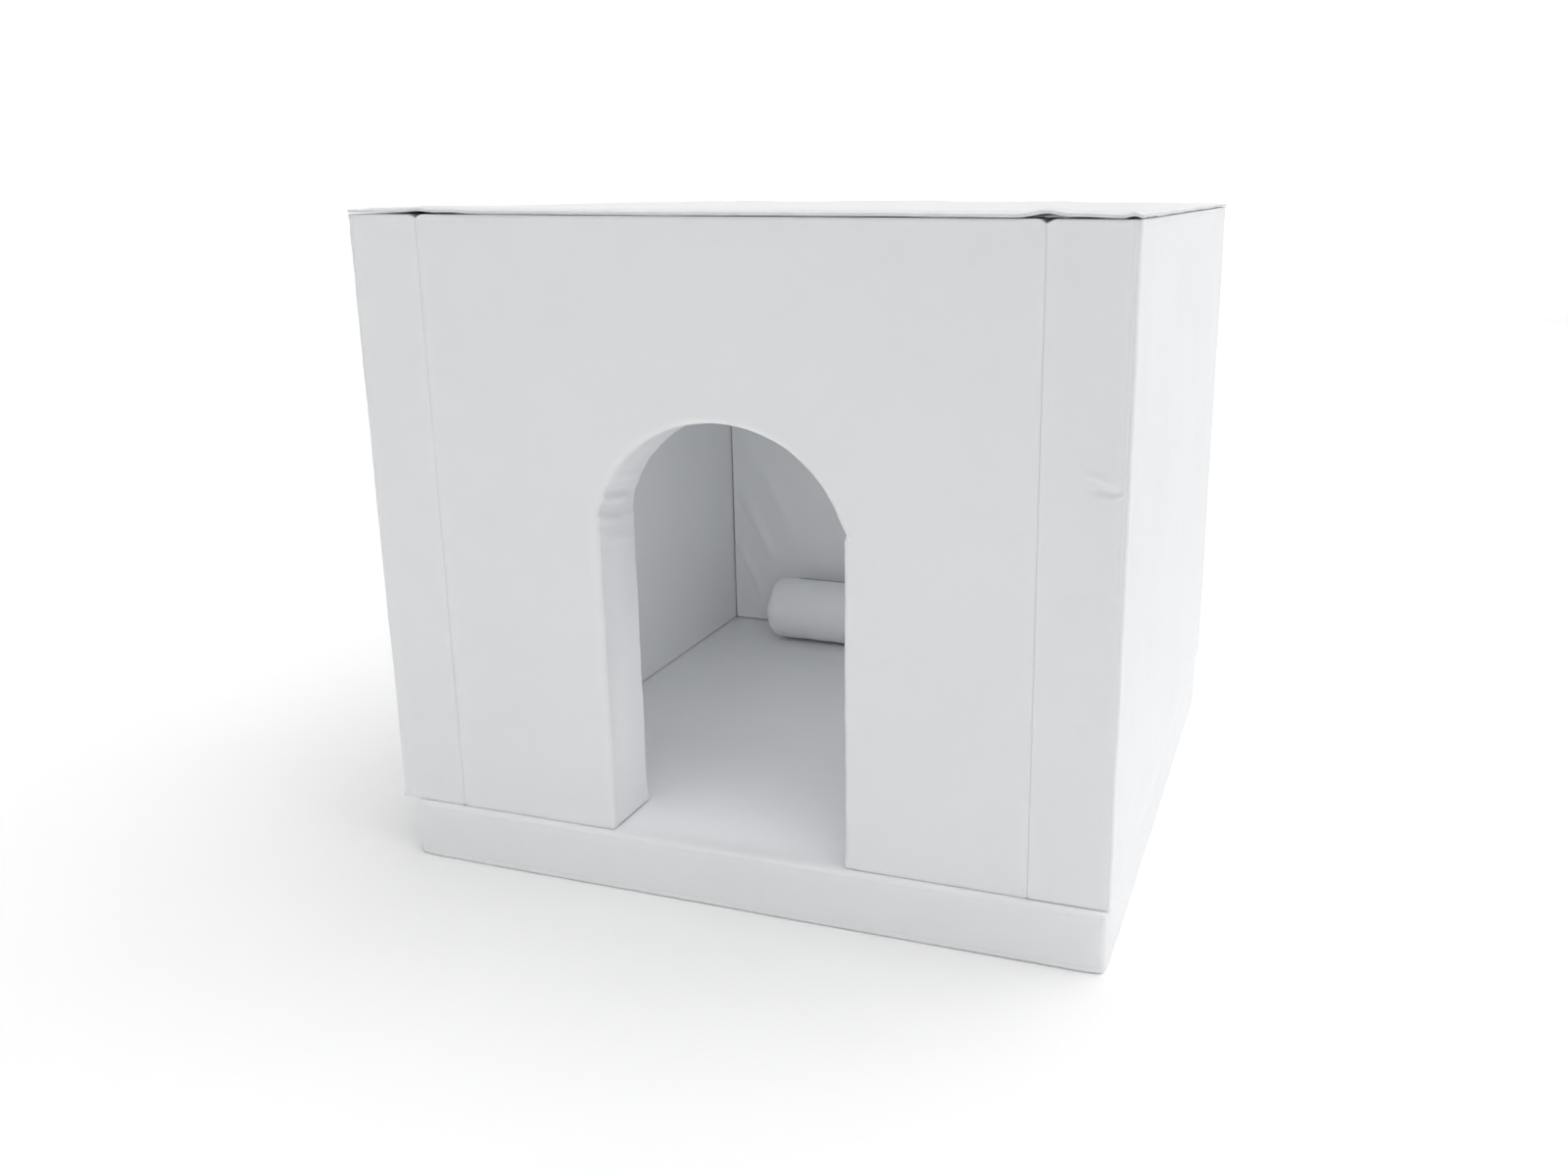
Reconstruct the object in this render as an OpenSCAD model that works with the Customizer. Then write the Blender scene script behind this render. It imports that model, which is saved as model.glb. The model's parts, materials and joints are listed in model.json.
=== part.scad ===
// Padded den: four foam-cored wall panels on a padded base, with an arched doorway,
// a thin padded roof that lifts off, and a loose bolster inside.
// Millimetres, +Z up, the doorway faces -Y.

/* [Walls] */
// Outer width of the four walls together, left to right
walls_w = 1250; // [1000:10:1600]
// Outer depth of the four walls together, front to back
walls_d = 1250; // [1000:10:1600]
// Height of the wall panels
wall_h = 1000; // [800:10:1400]
// Thickness of each wall panel
wall_t = 125; // [100:5:160]
// Radius of the panels' edges
edge_r = 8; // [4:1:14]

/* [Doorway] */
// Clear width of the doorway
door_w = 410; // [300:10:560]
// Height of the doorway's upright sides above the base
door_side_h = 545; // [350:5:640]
// Rise of the arch above the upright sides
door_rise = 155; // [60:5:190]

/* [Base] */
// Thickness of the base
base_t = 100; // [60:5:160]
// How far the base stops short of the left wall's outer face
base_left_step = 28; // [0:1:34]
// How far the base stops short of the back wall's outer face
base_back_step = 52; // [0:1:56]
// How far the base stands proud of the walls at the front
base_front_step = 12; // [0:1:30]
// Thickness of the anti-slip sheet under the base
underside_t = 1.2; // [0.8:0.1:2]

/* [Roof] */
// Thickness of the roof pad
roof_t = 8; // [6:1:20]
// How far the roof pad reaches past the walls on every side
roof_overhang = 2; // [1:1:8]

/* [Bolster] */
// Diameter of the bolster
bolster_d = 150; // [80:5:220]
// Length of the bolster
bolster_l = 700; // [400:10:900]
// Radius of the bolster's rounded ends
bolster_end_r = 25; // [10:1:30]
// Space between the bolster and the back wall
bolster_back_gap = 25; // [12:1:80]
// Angle of the bolster's zip above the middle of its back
bolster_zip_angle = 45; // [40:5:60]

/* [Vinyl, foam and strips] */
// Thickness of the vinyl covers
vinyl_t = 0.8; // [0.5:0.1:1.5]
// Space between a cover and its foam core
foam_gap = 0.3; // [0.1:0.1:0.8]
// Thickness of one half of a hook-and-loop strip
strip_t = 1; // [0.8:0.1:1.5]
// Width of the strips under the walls and under the roof
strip_w = 50; // [25:1:60]
// Width of the upright strips at the four wall joints
corner_strip_w = 38; // [20:1:40]
// Bare length left at the ends of a strip
strip_margin = 20; // [15:1:60]

/* [Zips] */
// Width of a zip's tape
zip_tape_w = 26; // [20:1:30]
// Thickness of a zip's tape
zip_tape_t = 0.6; // [0.4:0.1:0.8]
// Width of the closed teeth
zip_chain_w = 6; // [4:0.5:8]
// Thickness of the closed teeth
zip_chain_t = 2.2; // [1.5:0.1:3]
// Distance from a panel's end to the end of its zip
zip_end_margin = 60; // [40:5:120]
// Length of a zip slider
slider_l = 14; // [12:1:18]
// Length of a slider's pull tab
pull_l = 28; // [20:1:40]

/* [Hidden] */
$fn = 64;

vinyl_colour = [0.93, 0.94, 0.95];
underside_colour = [0.80, 0.81, 0.82];
foam_colour = [0.95, 0.91, 0.78];
loop_colour = [0.86, 0.86, 0.87];
hook_colour = [0.80, 0.80, 0.82];
tape_colour = [0.90, 0.90, 0.91];
teeth_colour = [0.84, 0.84, 0.86];
metal_colour = [0.70, 0.71, 0.73];

// Fits between pieces
skin = vinyl_t + foam_gap;          // from a cover's face to the foam inside it
pair_t = 2 * strip_t;               // a hook strip pressed on its loop strip
slider_clear = 0.4;                 // slider to teeth
skirt_clear = 0.3;                  // slider to tape, and pull to slider
rest_gap = 0.3;                     // bolster to the base it lies on
curve_gap = 0.1;                    // bolster's cover to its zip tape

// Heights
wall_z = base_t + pair_t;           // underside of the walls
roof_z = wall_z + wall_h + pair_t;  // underside of the roof
wall_mid_z = wall_z + wall_h / 2;

// Plan of the walls, about the middle of the walls
side_x = (walls_w - wall_t) / 2;                // middle of a side wall
end_y = (walls_d - wall_t) / 2;                 // middle of the front or back wall
cross_w = walls_w - 2 * wall_t - 2 * pair_t;    // width of the front and back walls
side_strip_l = walls_d - 2 * wall_t;            // strips along the side walls
cross_strip_l = cross_w - 2 * strip_margin;     // strips along the front and back walls
strip_inset = wall_t / 2 - edge_r - strip_w / 2;

// Base, whose right side is flush with the right wall
base_w = walls_w - base_left_step;
base_d = walls_d + base_front_step - base_back_step;
base_x = base_left_step / 2;
base_y = -(base_front_step + base_back_step) / 2;
base_rear_y = walls_d / 2 - base_back_step;
hem_margin = 6;                                 // flat hem under the base, inside its rounded edge
underside_hem = edge_r + hem_margin;            // from the base's side to the window in its underside

// Doorway
door_z = door_side_h - pair_t;                  // springing line above the wall's underside
arch_r = (pow(door_w / 2, 2) + pow(door_rise, 2)) / (2 * door_rise);
arch_z = door_z + door_rise - arch_r;           // arch's centre above the wall's underside
cut_reach = 2 * edge_r;                         // how far cuts run past a face

// Zip section, measured out from the cover's face
slider_plate_t = 1.2;
slider_wall_t = 1.8;
slider_top = zip_tape_t + zip_chain_t + slider_clear + slider_plate_t;
slider_w = zip_chain_w + 2 * (slider_clear + slider_wall_t);
pin_r = 0.7;
pin_clear = 0.25;                   // pull's eye to its pin
eye_r = 1.8;
pin_z = slider_top + eye_r + skirt_clear;
lug_gap = 3.6;
lug_t = 1.2;
lug_r = 1.2;
lug_root = 0.5;                     // how deep a lug is set in the slider
pull_w = 7;
pull_t = 1.4;
pull_hole_r = 1.6;
pull_corner_r = 2;
neck_l = 5;
neck_root = 0.5;                    // how far the neck runs into the tab
stop_l = 4;
stop_side = 1;                      // how far a stop stands out beside the teeth
stop_gap = 0.5;                     // slider to the stop it starts from
zip_stand = pin_z + eye_r;

// Zip lengths, and the sliders' places from the middle of their zips
base_zip_l = base_w - 2 * zip_end_margin;
wall_zip_l = wall_h - 2 * zip_end_margin;
bolster_zip_l = bolster_l - 2 * zip_end_margin;
corner_strip_l = wall_h - 2 * zip_end_margin;
end_face_margin = 4;                            // strip or zip to the rounded edge beside it
corner_strip_off = wall_t / 2 - edge_r - corner_strip_w / 2 - end_face_margin;
hidden_zip_off = wall_t / 2 - edge_r - zip_tape_w / 2 - end_face_margin;
hidden_chain_gap = 0.2;                         // hidden zip to the side wall
hidden_chain_t = pair_t - zip_tape_t - hidden_chain_gap;

// Bolster's axis
bolster_y = walls_d / 2 - wall_t - bolster_back_gap - bolster_d / 2;
bolster_z = base_t + rest_gap + bolster_d / 2;

// The origin is at the middle of the whole object's box, on the floor
front_reach = walls_d / 2 + max(base_front_step, roof_overhang);
rear_reach = walls_d / 2 + max(zip_stand, roof_overhang);
mid_y = (rear_reach - front_reach) / 2;

module in_place() {
    translate([0, -mid_y, 0]) children();
}

// ---- Shapes ----

// Rectangle with round corners, centred
module round_rect(w, h, r) {
    square([w - 2 * r, h], center = true);
    square([w, h - 2 * r], center = true);
    for (x = [-1, 1], y = [-1, 1])
        translate([x * (w / 2 - r), y * (h / 2 - r)])
            circle(r = r);
}

// Block with every edge rounded, centred
module soft_block(w, d, h, r) {
    intersection() {
        linear_extrude(h, center = true) round_rect(w, d, r);
        rotate([90, 0, 0]) linear_extrude(d, center = true) round_rect(w, h, r);
        rotate([90, 0, 90]) linear_extrude(w, center = true) round_rect(d, h, r);
    }
}

// The same block, in by the same distance on every side
module inner_block(w, d, h, r, inset) {
    soft_block(w - 2 * inset, d - 2 * inset, h - 2 * inset, r - inset);
}

// Closed vinyl cover round a block
module block_cover(w, d, h, r) {
    difference() {
        soft_block(w, d, h, r);
        inner_block(w, d, h, r, vinyl_t);
    }
}

// Doorway through a wall that is centred, grown by g on every side
module doorway(g) {
    rotate([90, 0, 0])
        linear_extrude(wall_t + 2 * cut_reach, center = true)
            translate([0, -wall_h / 2]) {
                translate([-door_w / 2 - g, -cut_reach])
                    square([door_w + 2 * g, door_z + cut_reach]);
                intersection() {
                    translate([0, arch_z]) circle(r = arch_r + g, $fn = 128);
                    translate([-door_w / 2 - g, door_z])
                        square([door_w + 2 * g, door_rise + g]);
                }
            }
}

// Flat strip, centred on its plan and standing on z
module strip(w, d, t) {
    translate([-w / 2, -d / 2, 0]) cube([w, d, t]);
}

// Bolster's round body, about the X axis
module roll(r, l, end_r) {
    rotate([0, 90, 0])
        rotate_extrude($fn = 128) {
            translate([0, -l / 2]) square([r - end_r, l]);
            translate([0, -l / 2 + end_r]) square([r, l - 2 * end_r]);
            for (s = [-1, 1])
                translate([r - end_r, s * (l / 2 - end_r)])
                    intersection() {
                        circle(r = end_r);
                        translate([0, -end_r]) square([end_r, 2 * end_r]);
                    }
        }
}

// ---- Zip pieces: teeth run along X, and +Z points away from the cover ----

module zip_tape(l) {
    strip(l, zip_tape_w, zip_tape_t);
}

// Closed teeth with a stop at each end
module zip_chain(l) {
    translate([0, 0, zip_tape_t]) {
        strip(l, zip_chain_w, zip_chain_t);
        for (s = [-1, 1])
            translate([s * (l - stop_l) / 2, 0, 0])
                strip(stop_l, zip_chain_w + 2 * stop_side, zip_chain_t + slider_clear);
    }
}

// Slider that straddles the teeth, with two lugs and the pin between them
module zip_slider() {
    top_t = slider_top - zip_tape_t - skirt_clear;
    difference() {
        translate([0, 0, zip_tape_t + skirt_clear])
            linear_extrude(top_t)
                round_rect(slider_l, slider_w, pull_corner_r);
        strip(
            slider_l + 1,
            zip_chain_w + 2 * slider_clear,
            zip_tape_t + zip_chain_t + slider_clear
        );
    }
    for (s = [-1, 1])
        translate([0, s * (lug_gap + lug_t) / 2, 0])
            rotate([90, 0, 0])
                linear_extrude(lug_t, center = true) {
                    translate([-lug_r, slider_top - lug_root])
                        square([2 * lug_r, pin_z - slider_top + lug_root]);
                    translate([0, pin_z]) circle(r = lug_r);
                }
    translate([0, 0, pin_z])
        rotate([90, 0, 0])
            cylinder(h = lug_gap + lug_t, r = pin_r, center = true);
}

// Pull tab that hangs on the slider's pin, lying along -X
module zip_pull() {
    neck_w = lug_gap - 2 * skirt_clear;
    tab_l = pull_l - neck_l;
    translate([0, 0, pin_z]) {
        difference() {
            union() {
                rotate([90, 0, 0]) cylinder(h = neck_w, r = eye_r, center = true);
                translate([-neck_l, -neck_w / 2, -pull_t / 2]) cube([neck_l, neck_w, pull_t]);
            }
            rotate([90, 0, 0]) cylinder(h = lug_gap, r = pin_r + pin_clear, center = true);
        }
        translate([-neck_l - tab_l / 2 + neck_root, 0, -pull_t / 2])
            linear_extrude(pull_t)
                difference() {
                    round_rect(tab_l, pull_w, pull_corner_r);
                    translate([(pull_w - tab_l) / 2, 0]) circle(r = pull_hole_r);
                }
    }
}

// Where each zip lies
module base_zip_place() {
    in_place()
        translate([base_x, base_rear_y, base_t / 2])
            rotate([-90, 0, 0]) children();
}

module wall_zip_place(side) {
    in_place()
        translate([side * side_x, walls_d / 2, wall_mid_z])
            rotate([0, -90, 0]) rotate([-90, 0, 0]) children();
}

module bolster_zip_place() {
    in_place()
        translate([0, bolster_y, bolster_z])
            rotate([bolster_zip_angle - 90, 0, 0])
                translate([0, 0, bolster_d / 2]) children();
}

// A slider and its pull stand against the stop at the -X end of their zip
module at_zip_start(l) {
    translate([-l / 2 + stop_l + stop_gap + slider_l / 2, 0, 0]) children();
}

// ---- Base ----

module base_foam() {
    foam_t = base_t - underside_t - foam_gap - skin;
    color(foam_colour)
        in_place()
            translate([base_x, base_y, underside_t + foam_gap + foam_t / 2])
                soft_block(base_w - 2 * skin, base_d - 2 * skin, foam_t, edge_r - skin);
}

// Plan of the window in the cover's underside, which the anti-slip sheet fills
module underside_window(t) {
    strip(base_w - 2 * underside_hem, base_d - 2 * underside_hem, t);
}

module base_cover() {
    color(vinyl_colour)
        in_place()
            translate([base_x, base_y, 0])
                difference() {
                    translate([0, 0, base_t / 2]) block_cover(base_w, base_d, base_t, edge_r);
                    translate([0, 0, -vinyl_t]) underside_window(3 * vinyl_t);
                }
}

module base_underside() {
    color(underside_colour)
        in_place()
            translate([base_x, base_y, 0]) underside_window(underside_t);
}

// ---- Walls ----

module side_place(side) {
    in_place() translate([side * side_x, 0, wall_mid_z]) children();
}

module end_place(side) {
    in_place() translate([0, side * end_y, wall_mid_z]) children();
}

module left_wall_foam() {
    color(foam_colour) side_place(-1) inner_block(wall_t, walls_d, wall_h, edge_r, skin);
}

module left_wall_cover() {
    color(vinyl_colour) side_place(-1) block_cover(wall_t, walls_d, wall_h, edge_r);
}

module right_wall_foam() {
    color(foam_colour) side_place(1) inner_block(wall_t, walls_d, wall_h, edge_r, skin);
}

module right_wall_cover() {
    color(vinyl_colour) side_place(1) block_cover(wall_t, walls_d, wall_h, edge_r);
}

module back_wall_foam() {
    color(foam_colour) end_place(1) inner_block(cross_w, wall_t, wall_h, edge_r, skin);
}

module back_wall_cover() {
    color(vinyl_colour) end_place(1) block_cover(cross_w, wall_t, wall_h, edge_r);
}

module front_wall_foam() {
    color(foam_colour)
        end_place(-1)
            difference() {
                inner_block(cross_w, wall_t, wall_h, edge_r, skin);
                doorway(skin);
            }
}

// The skin lines the doorway as well
module front_wall_cover() {
    color(vinyl_colour)
        end_place(-1)
            difference() {
                soft_block(cross_w, wall_t, wall_h, edge_r);
                doorway(0);
                difference() {
                    inner_block(cross_w, wall_t, wall_h, edge_r, vinyl_t);
                    doorway(vinyl_t);
                }
            }
}

// ---- Hook-and-loop strips ----

// Six strips under the walls: one on each side, one at the back, one on each leg in front
module wall_base_strips() {
    leg_l = (cross_w - door_w) / 2 - 2 * strip_margin;
    leg_x = (cross_w + door_w) / 4;
    for (s = [-1, 1])
        translate([s * (side_x - strip_inset), 0, 0]) strip(strip_w, side_strip_l, strip_t);
    translate([0, end_y - strip_inset, 0]) strip(cross_strip_l, strip_w, strip_t);
    for (s = [-1, 1])
        translate([s * leg_x, -end_y + strip_inset, 0]) strip(leg_l, strip_w, strip_t);
}

module wall_base_loop() {
    color(loop_colour) in_place() translate([0, 0, base_t]) wall_base_strips();
}

module wall_base_hook() {
    color(hook_colour) in_place() translate([0, 0, base_t + strip_t]) wall_base_strips();
}

// Four upright strips, off from the front and back walls' ends by off
module corner_strips(off) {
    for (x = [-1, 1], y = [-1, 1])
        translate([
            x * (cross_w / 2 + off + strip_t / 2),
            y * (end_y + corner_strip_off),
            wall_mid_z - corner_strip_l / 2
        ])
            strip(strip_t, corner_strip_w, corner_strip_l);
}

module corner_hook() {
    color(hook_colour) in_place() corner_strips(0);
}

module corner_loop() {
    color(loop_colour) in_place() corner_strips(strip_t);
}

// Four strips along the tops of the walls
module roof_strips() {
    for (s = [-1, 1]) {
        translate([s * side_x, 0, 0]) strip(strip_w, side_strip_l, strip_t);
        translate([0, s * end_y, 0]) strip(cross_strip_l, strip_w, strip_t);
    }
}

module roof_loop() {
    color(loop_colour) in_place() translate([0, 0, wall_z + wall_h]) roof_strips();
}

module roof_hook() {
    color(hook_colour) in_place() translate([0, 0, wall_z + wall_h + strip_t]) roof_strips();
}

// ---- Roof ----

module roof_slab(inset) {
    linear_extrude(roof_t - 2 * inset, center = true)
        round_rect(
            walls_w + 2 * (roof_overhang - inset),
            walls_d + 2 * (roof_overhang - inset),
            edge_r + roof_overhang - inset
        );
}

module roof_foam() {
    color(foam_colour) in_place() translate([0, 0, roof_z + roof_t / 2]) roof_slab(skin);
}

module roof_cover() {
    color(vinyl_colour)
        in_place()
            translate([0, 0, roof_z + roof_t / 2])
                difference() {
                    roof_slab(0);
                    roof_slab(vinyl_t);
                }
}

// ---- Bolster ----

module bolster_roll(inset) {
    in_place()
        translate([0, bolster_y, bolster_z])
            roll(bolster_d / 2 - inset, bolster_l - 2 * inset, bolster_end_r - inset);
}

module bolster_foam() {
    color(foam_colour) bolster_roll(skin);
}

module bolster_cover() {
    color(vinyl_colour)
        difference() {
            bolster_roll(0);
            bolster_roll(vinyl_t);
        }
}

// ---- Zips hidden in the joints at the right ends of the front and back walls ----

module hidden_zip(side) {
    color(tape_colour)
        in_place()
            translate([cross_w / 2, side * (end_y - hidden_zip_off), wall_mid_z - wall_zip_l / 2]) {
                translate([zip_tape_t / 2, 0, 0]) strip(zip_tape_t, zip_tape_w, wall_zip_l);
                translate([zip_tape_t + hidden_chain_t / 2, 0, 0])
                    strip(hidden_chain_t, zip_chain_w, wall_zip_l);
            }
}

module front_wall_zip() {
    hidden_zip(-1);
}

module back_wall_zip() {
    hidden_zip(1);
}

// ---- Zips that show ----

module base_zip_tape() {
    color(tape_colour) base_zip_place() zip_tape(base_zip_l);
}

module base_zip_chain() {
    color(teeth_colour) base_zip_place() zip_chain(base_zip_l);
}

module base_zip_slider() {
    color(metal_colour) base_zip_place() at_zip_start(base_zip_l) zip_slider();
}

module base_zip_pull() {
    color(metal_colour) base_zip_place() at_zip_start(base_zip_l) zip_pull();
}

module left_zip_tape() {
    color(tape_colour) wall_zip_place(-1) zip_tape(wall_zip_l);
}

module left_zip_chain() {
    color(teeth_colour) wall_zip_place(-1) zip_chain(wall_zip_l);
}

module left_zip_slider() {
    color(metal_colour) wall_zip_place(-1) at_zip_start(wall_zip_l) zip_slider();
}

module left_zip_pull() {
    color(metal_colour) wall_zip_place(-1) at_zip_start(wall_zip_l) zip_pull();
}

module right_zip_tape() {
    color(tape_colour) wall_zip_place(1) zip_tape(wall_zip_l);
}

module right_zip_chain() {
    color(teeth_colour) wall_zip_place(1) zip_chain(wall_zip_l);
}

module right_zip_slider() {
    color(metal_colour) wall_zip_place(1) at_zip_start(wall_zip_l) zip_slider();
}

module right_zip_pull() {
    color(metal_colour) wall_zip_place(1) at_zip_start(wall_zip_l) zip_pull();
}

// The bolster's tape curves round the roll, and its teeth lie flat on the tape's crown
module bolster_zip_tape() {
    half_angle = zip_tape_w / bolster_d * 180 / PI;
    out_r = bolster_d / 2 + zip_tape_t;
    color(tape_colour)
        in_place()
            translate([0, bolster_y, bolster_z])
                rotate([bolster_zip_angle, 0, 0]) rotate([90, 0, 90])
                    linear_extrude(bolster_zip_l, center = true)
                        intersection() {
                            difference() {
                                circle(r = out_r, $fn = 128);
                                circle(r = bolster_d / 2 + curve_gap, $fn = 128);
                            }
                            polygon([
                                [0, 0],
                                [2 * out_r * cos(half_angle), -2 * out_r * sin(half_angle)],
                                [2 * out_r * cos(half_angle), 2 * out_r * sin(half_angle)]
                            ]);
                        }
}

module bolster_zip_chain() {
    color(teeth_colour) bolster_zip_place() zip_chain(bolster_zip_l);
}

module bolster_zip_slider() {
    color(metal_colour) bolster_zip_place() at_zip_start(bolster_zip_l) zip_slider();
}

module bolster_zip_pull() {
    color(metal_colour) bolster_zip_place() at_zip_start(bolster_zip_l) zip_pull();
}

base_foam();
base_cover();
base_underside();
left_wall_foam();
left_wall_cover();
right_wall_foam();
right_wall_cover();
front_wall_foam();
front_wall_cover();
back_wall_foam();
back_wall_cover();
wall_base_loop();
wall_base_hook();
corner_loop();
corner_hook();
roof_loop();
roof_hook();
roof_foam();
roof_cover();
bolster_foam();
bolster_cover();
front_wall_zip();
back_wall_zip();
base_zip_tape();
base_zip_chain();
base_zip_slider();
base_zip_pull();
left_zip_tape();
left_zip_chain();
left_zip_slider();
left_zip_pull();
right_zip_tape();
right_zip_chain();
right_zip_slider();
right_zip_pull();
bolster_zip_tape();
bolster_zip_chain();
bolster_zip_slider();
bolster_zip_pull();
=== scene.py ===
import json
import math

import bmesh
import bpy
import numpy as np
from mathutils import Matrix, Vector


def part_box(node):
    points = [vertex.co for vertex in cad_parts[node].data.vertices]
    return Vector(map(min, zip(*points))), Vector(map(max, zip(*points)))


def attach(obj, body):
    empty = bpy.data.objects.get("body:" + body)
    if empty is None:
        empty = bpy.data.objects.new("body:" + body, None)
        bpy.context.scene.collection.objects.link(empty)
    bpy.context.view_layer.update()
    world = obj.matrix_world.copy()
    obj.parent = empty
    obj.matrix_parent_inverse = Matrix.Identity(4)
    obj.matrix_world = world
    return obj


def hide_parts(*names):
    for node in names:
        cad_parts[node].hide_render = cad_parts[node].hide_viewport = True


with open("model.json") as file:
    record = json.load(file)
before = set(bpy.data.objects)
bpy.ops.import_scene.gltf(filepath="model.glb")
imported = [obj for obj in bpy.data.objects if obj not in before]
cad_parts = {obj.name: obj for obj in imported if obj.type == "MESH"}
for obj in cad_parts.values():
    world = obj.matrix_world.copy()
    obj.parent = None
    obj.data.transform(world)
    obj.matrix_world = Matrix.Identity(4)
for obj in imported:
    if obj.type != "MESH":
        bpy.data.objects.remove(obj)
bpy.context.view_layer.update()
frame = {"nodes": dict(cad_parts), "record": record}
scene = bpy.context.scene
print("frame loaded")


# Camera, floor and lights
cameraSetup = {
    "place": (0.8799, -2.4290, 1.1428),
    "pitch": 0.2574,         # below level, in radians
    "turn": 0.3248,          # to the left of +Y
    "lens": 30.9,
    "shift": (-0.0641, -0.0294),
}


def addCamera(setup):
    data = bpy.data.cameras.new("camera")
    data.sensor_width = 36
    data.lens = setup["lens"]
    data.shift_x, data.shift_y = setup["shift"]
    data.clip_start = 0.02
    camera = bpy.data.objects.new("camera", data)
    camera.location = setup["place"]
    camera.rotation_euler = (math.pi / 2 - setup["pitch"], 0, setup["turn"])
    scene.collection.objects.link(camera)
    scene.camera = camera


studio = {
    "sky": 0.12,
    "skyColour": (0.975, 0.985, 1.0),
    "sunStrength": 2.74,
    "sunSpread": 65.0,       # degrees
    "sunFrom": (0.25, 0.06, 0.97),
    # soft light through the doorway: depth behind the front, height of its middle, width, height, watts,
    # and degrees it is tipped down
    "fills": {
        "doorway_fill": (0.004, 0.33, 0.34, 0.56, 0.26, 0),
        "inside_fill": (0.310, 0.60, 0.46, 0.36, 0.98, 44),
    },
    "floorColour": (0.90, 0.90, 0.90),
    "floorDust": 0.985,      # shade of the dustier patches
    "floorRings": (1.5, 4.0, 8.0),
    "wallDistance": 12.0,    # the white sweep round the floor
    "wallHeight": 5.5,
    "wallBend": 1.6,
    "sides": 96,
    "floorGlow": 0.03,
    "wallGlow": 0.42,
    "glowTowards": (0.0, 1.0, 0.0),      # the side of the sweep that is lit
    "glowFrom": -0.2,        # shares of the sweep's distance between which the glow grows
    "glowFull": 0.5,
    "glowHeight": 0.5,
}


def addLights(setup):
    data = bpy.data.lights.new("overhead", "SUN")
    data.energy = setup["sunStrength"]
    data.angle = math.radians(setup["sunSpread"])
    sun = bpy.data.objects.new("overhead", data)
    sun.rotation_euler = Vector(setup["sunFrom"]).to_track_quat("Z", "Y").to_euler()
    scene.collection.objects.link(sun)
    # lift the inside of the den as a large window in front of it would
    lo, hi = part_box("front_wall_cover")
    for name, (depth, height, wide, tall, watts, tip) in setup["fills"].items():
        data = bpy.data.lights.new(name, "AREA")
        data.shape = "RECTANGLE"
        data.size, data.size_y = wide, tall
        data.energy = watts
        fill = bpy.data.objects.new(name, data)
        fill.location = (0, lo.y + depth, lo.z + height)
        fill.rotation_euler = (math.radians(90 - tip), 0, 0)
        fill.visible_camera = False
        scene.collection.objects.link(fill)
    world = bpy.data.worlds.new("studio")
    world.use_nodes = True
    sky = world.node_tree.nodes["Background"]
    sky.inputs["Color"].default_value = (*setup["skyColour"], 1)
    sky.inputs["Strength"].default_value = setup["sky"]
    scene.world = world


slotColour = {row["slot"]: tuple(row["base_color"]) for row in frame["record"]["materials"]}


def shaded(colour, share):
    return tuple(part * share for part in colour)


def addNode(tree, kind, **settings):
    node = tree.nodes.new(kind)
    for name, value in settings.items():
        if name in node.inputs:
            node.inputs[name].default_value = value
        else:
            setattr(node, name, value)
    return node


# A material being made: each step adds one node and gives back what comes out of it
class Coat:
    def __init__(self, name):
        self.material = bpy.data.materials.new(name)
        self.material.use_nodes = True
        self.tree = self.material.node_tree
        self.shader = self.tree.nodes["Principled BSDF"]
        self.coords = self.tree.nodes.new("ShaderNodeTexCoord").outputs
        self.where = self.coords["Object"]

    def join(self, value, socket):
        if isinstance(value, tuple):
            socket.default_value = (*value, 1)
        elif isinstance(value, (int, float)):
            socket.default_value = value
        else:
            self.tree.links.new(value, socket)

    def put(self, **values):
        # Base_Color=... sets or links the shader's Base Color
        for name, value in values.items():
            self.join(value, self.shader.inputs[name.replace("_", " ")])

    def noise(self, scale, detail, rough, bend=0.0, stretch=None):
        noise = addNode(self.tree, "ShaderNodeTexNoise", Scale=scale, Detail=detail, Roughness=rough,
                        Distortion=bend)
        where = self.where
        if stretch:
            mapping = addNode(self.tree, "ShaderNodeMapping", Scale=stretch)
            self.join(where, mapping.inputs["Vector"])
            where = mapping.outputs["Vector"]
        self.join(where, noise.inputs["Vector"])
        return noise.outputs["Fac"]

    def cells(self, scale, feature="F1", randomness=1.0):
        cells = addNode(self.tree, "ShaderNodeTexVoronoi", feature=feature, Scale=scale,
                        Randomness=randomness)
        self.join(self.where, cells.inputs["Vector"])
        return cells.outputs["Distance"]

    def ribs(self, scale, direction):
        # straight ribs that follow the piece's own map
        ribs = addNode(self.tree, "ShaderNodeTexWave", Scale=scale, Distortion=0.6)
        ribs.bands_direction = direction
        self.join(self.coords["UV"], ribs.inputs["Vector"])
        return ribs.outputs["Fac"]

    def spread(self, value, low, high, toLow, toHigh):
        names = ("From Min", "From Max", "To Min", "To Max")
        spread = addNode(self.tree, "ShaderNodeMapRange", **dict(zip(names, (low, high, toLow, toHigh))))
        self.join(value, spread.inputs["Value"])
        return spread.outputs["Result"]

    def sum(self, first, second, how="ADD"):
        total = addNode(self.tree, "ShaderNodeMath", operation=how)
        self.join(first, total.inputs[0])
        self.join(second, total.inputs[1])
        return total.outputs["Value"]

    def tint(self, amount, first, second):
        mix = addNode(self.tree, "ShaderNodeMix", data_type="RGBA")
        ends = [socket for socket in mix.inputs if socket.type == "RGBA"]
        self.join(first, ends[0])
        self.join(second, ends[1])
        self.join(amount, mix.inputs[0])
        return next(socket for socket in mix.outputs if socket.type == "RGBA")

    def bump(self, height, distance, strength, under=None):
        bump = addNode(self.tree, "ShaderNodeBump", Distance=distance, Strength=strength)
        self.join(height, bump.inputs["Height"])
        if under:
            self.join(under, bump.inputs["Normal"])
        return bump.outputs["Normal"]


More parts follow.
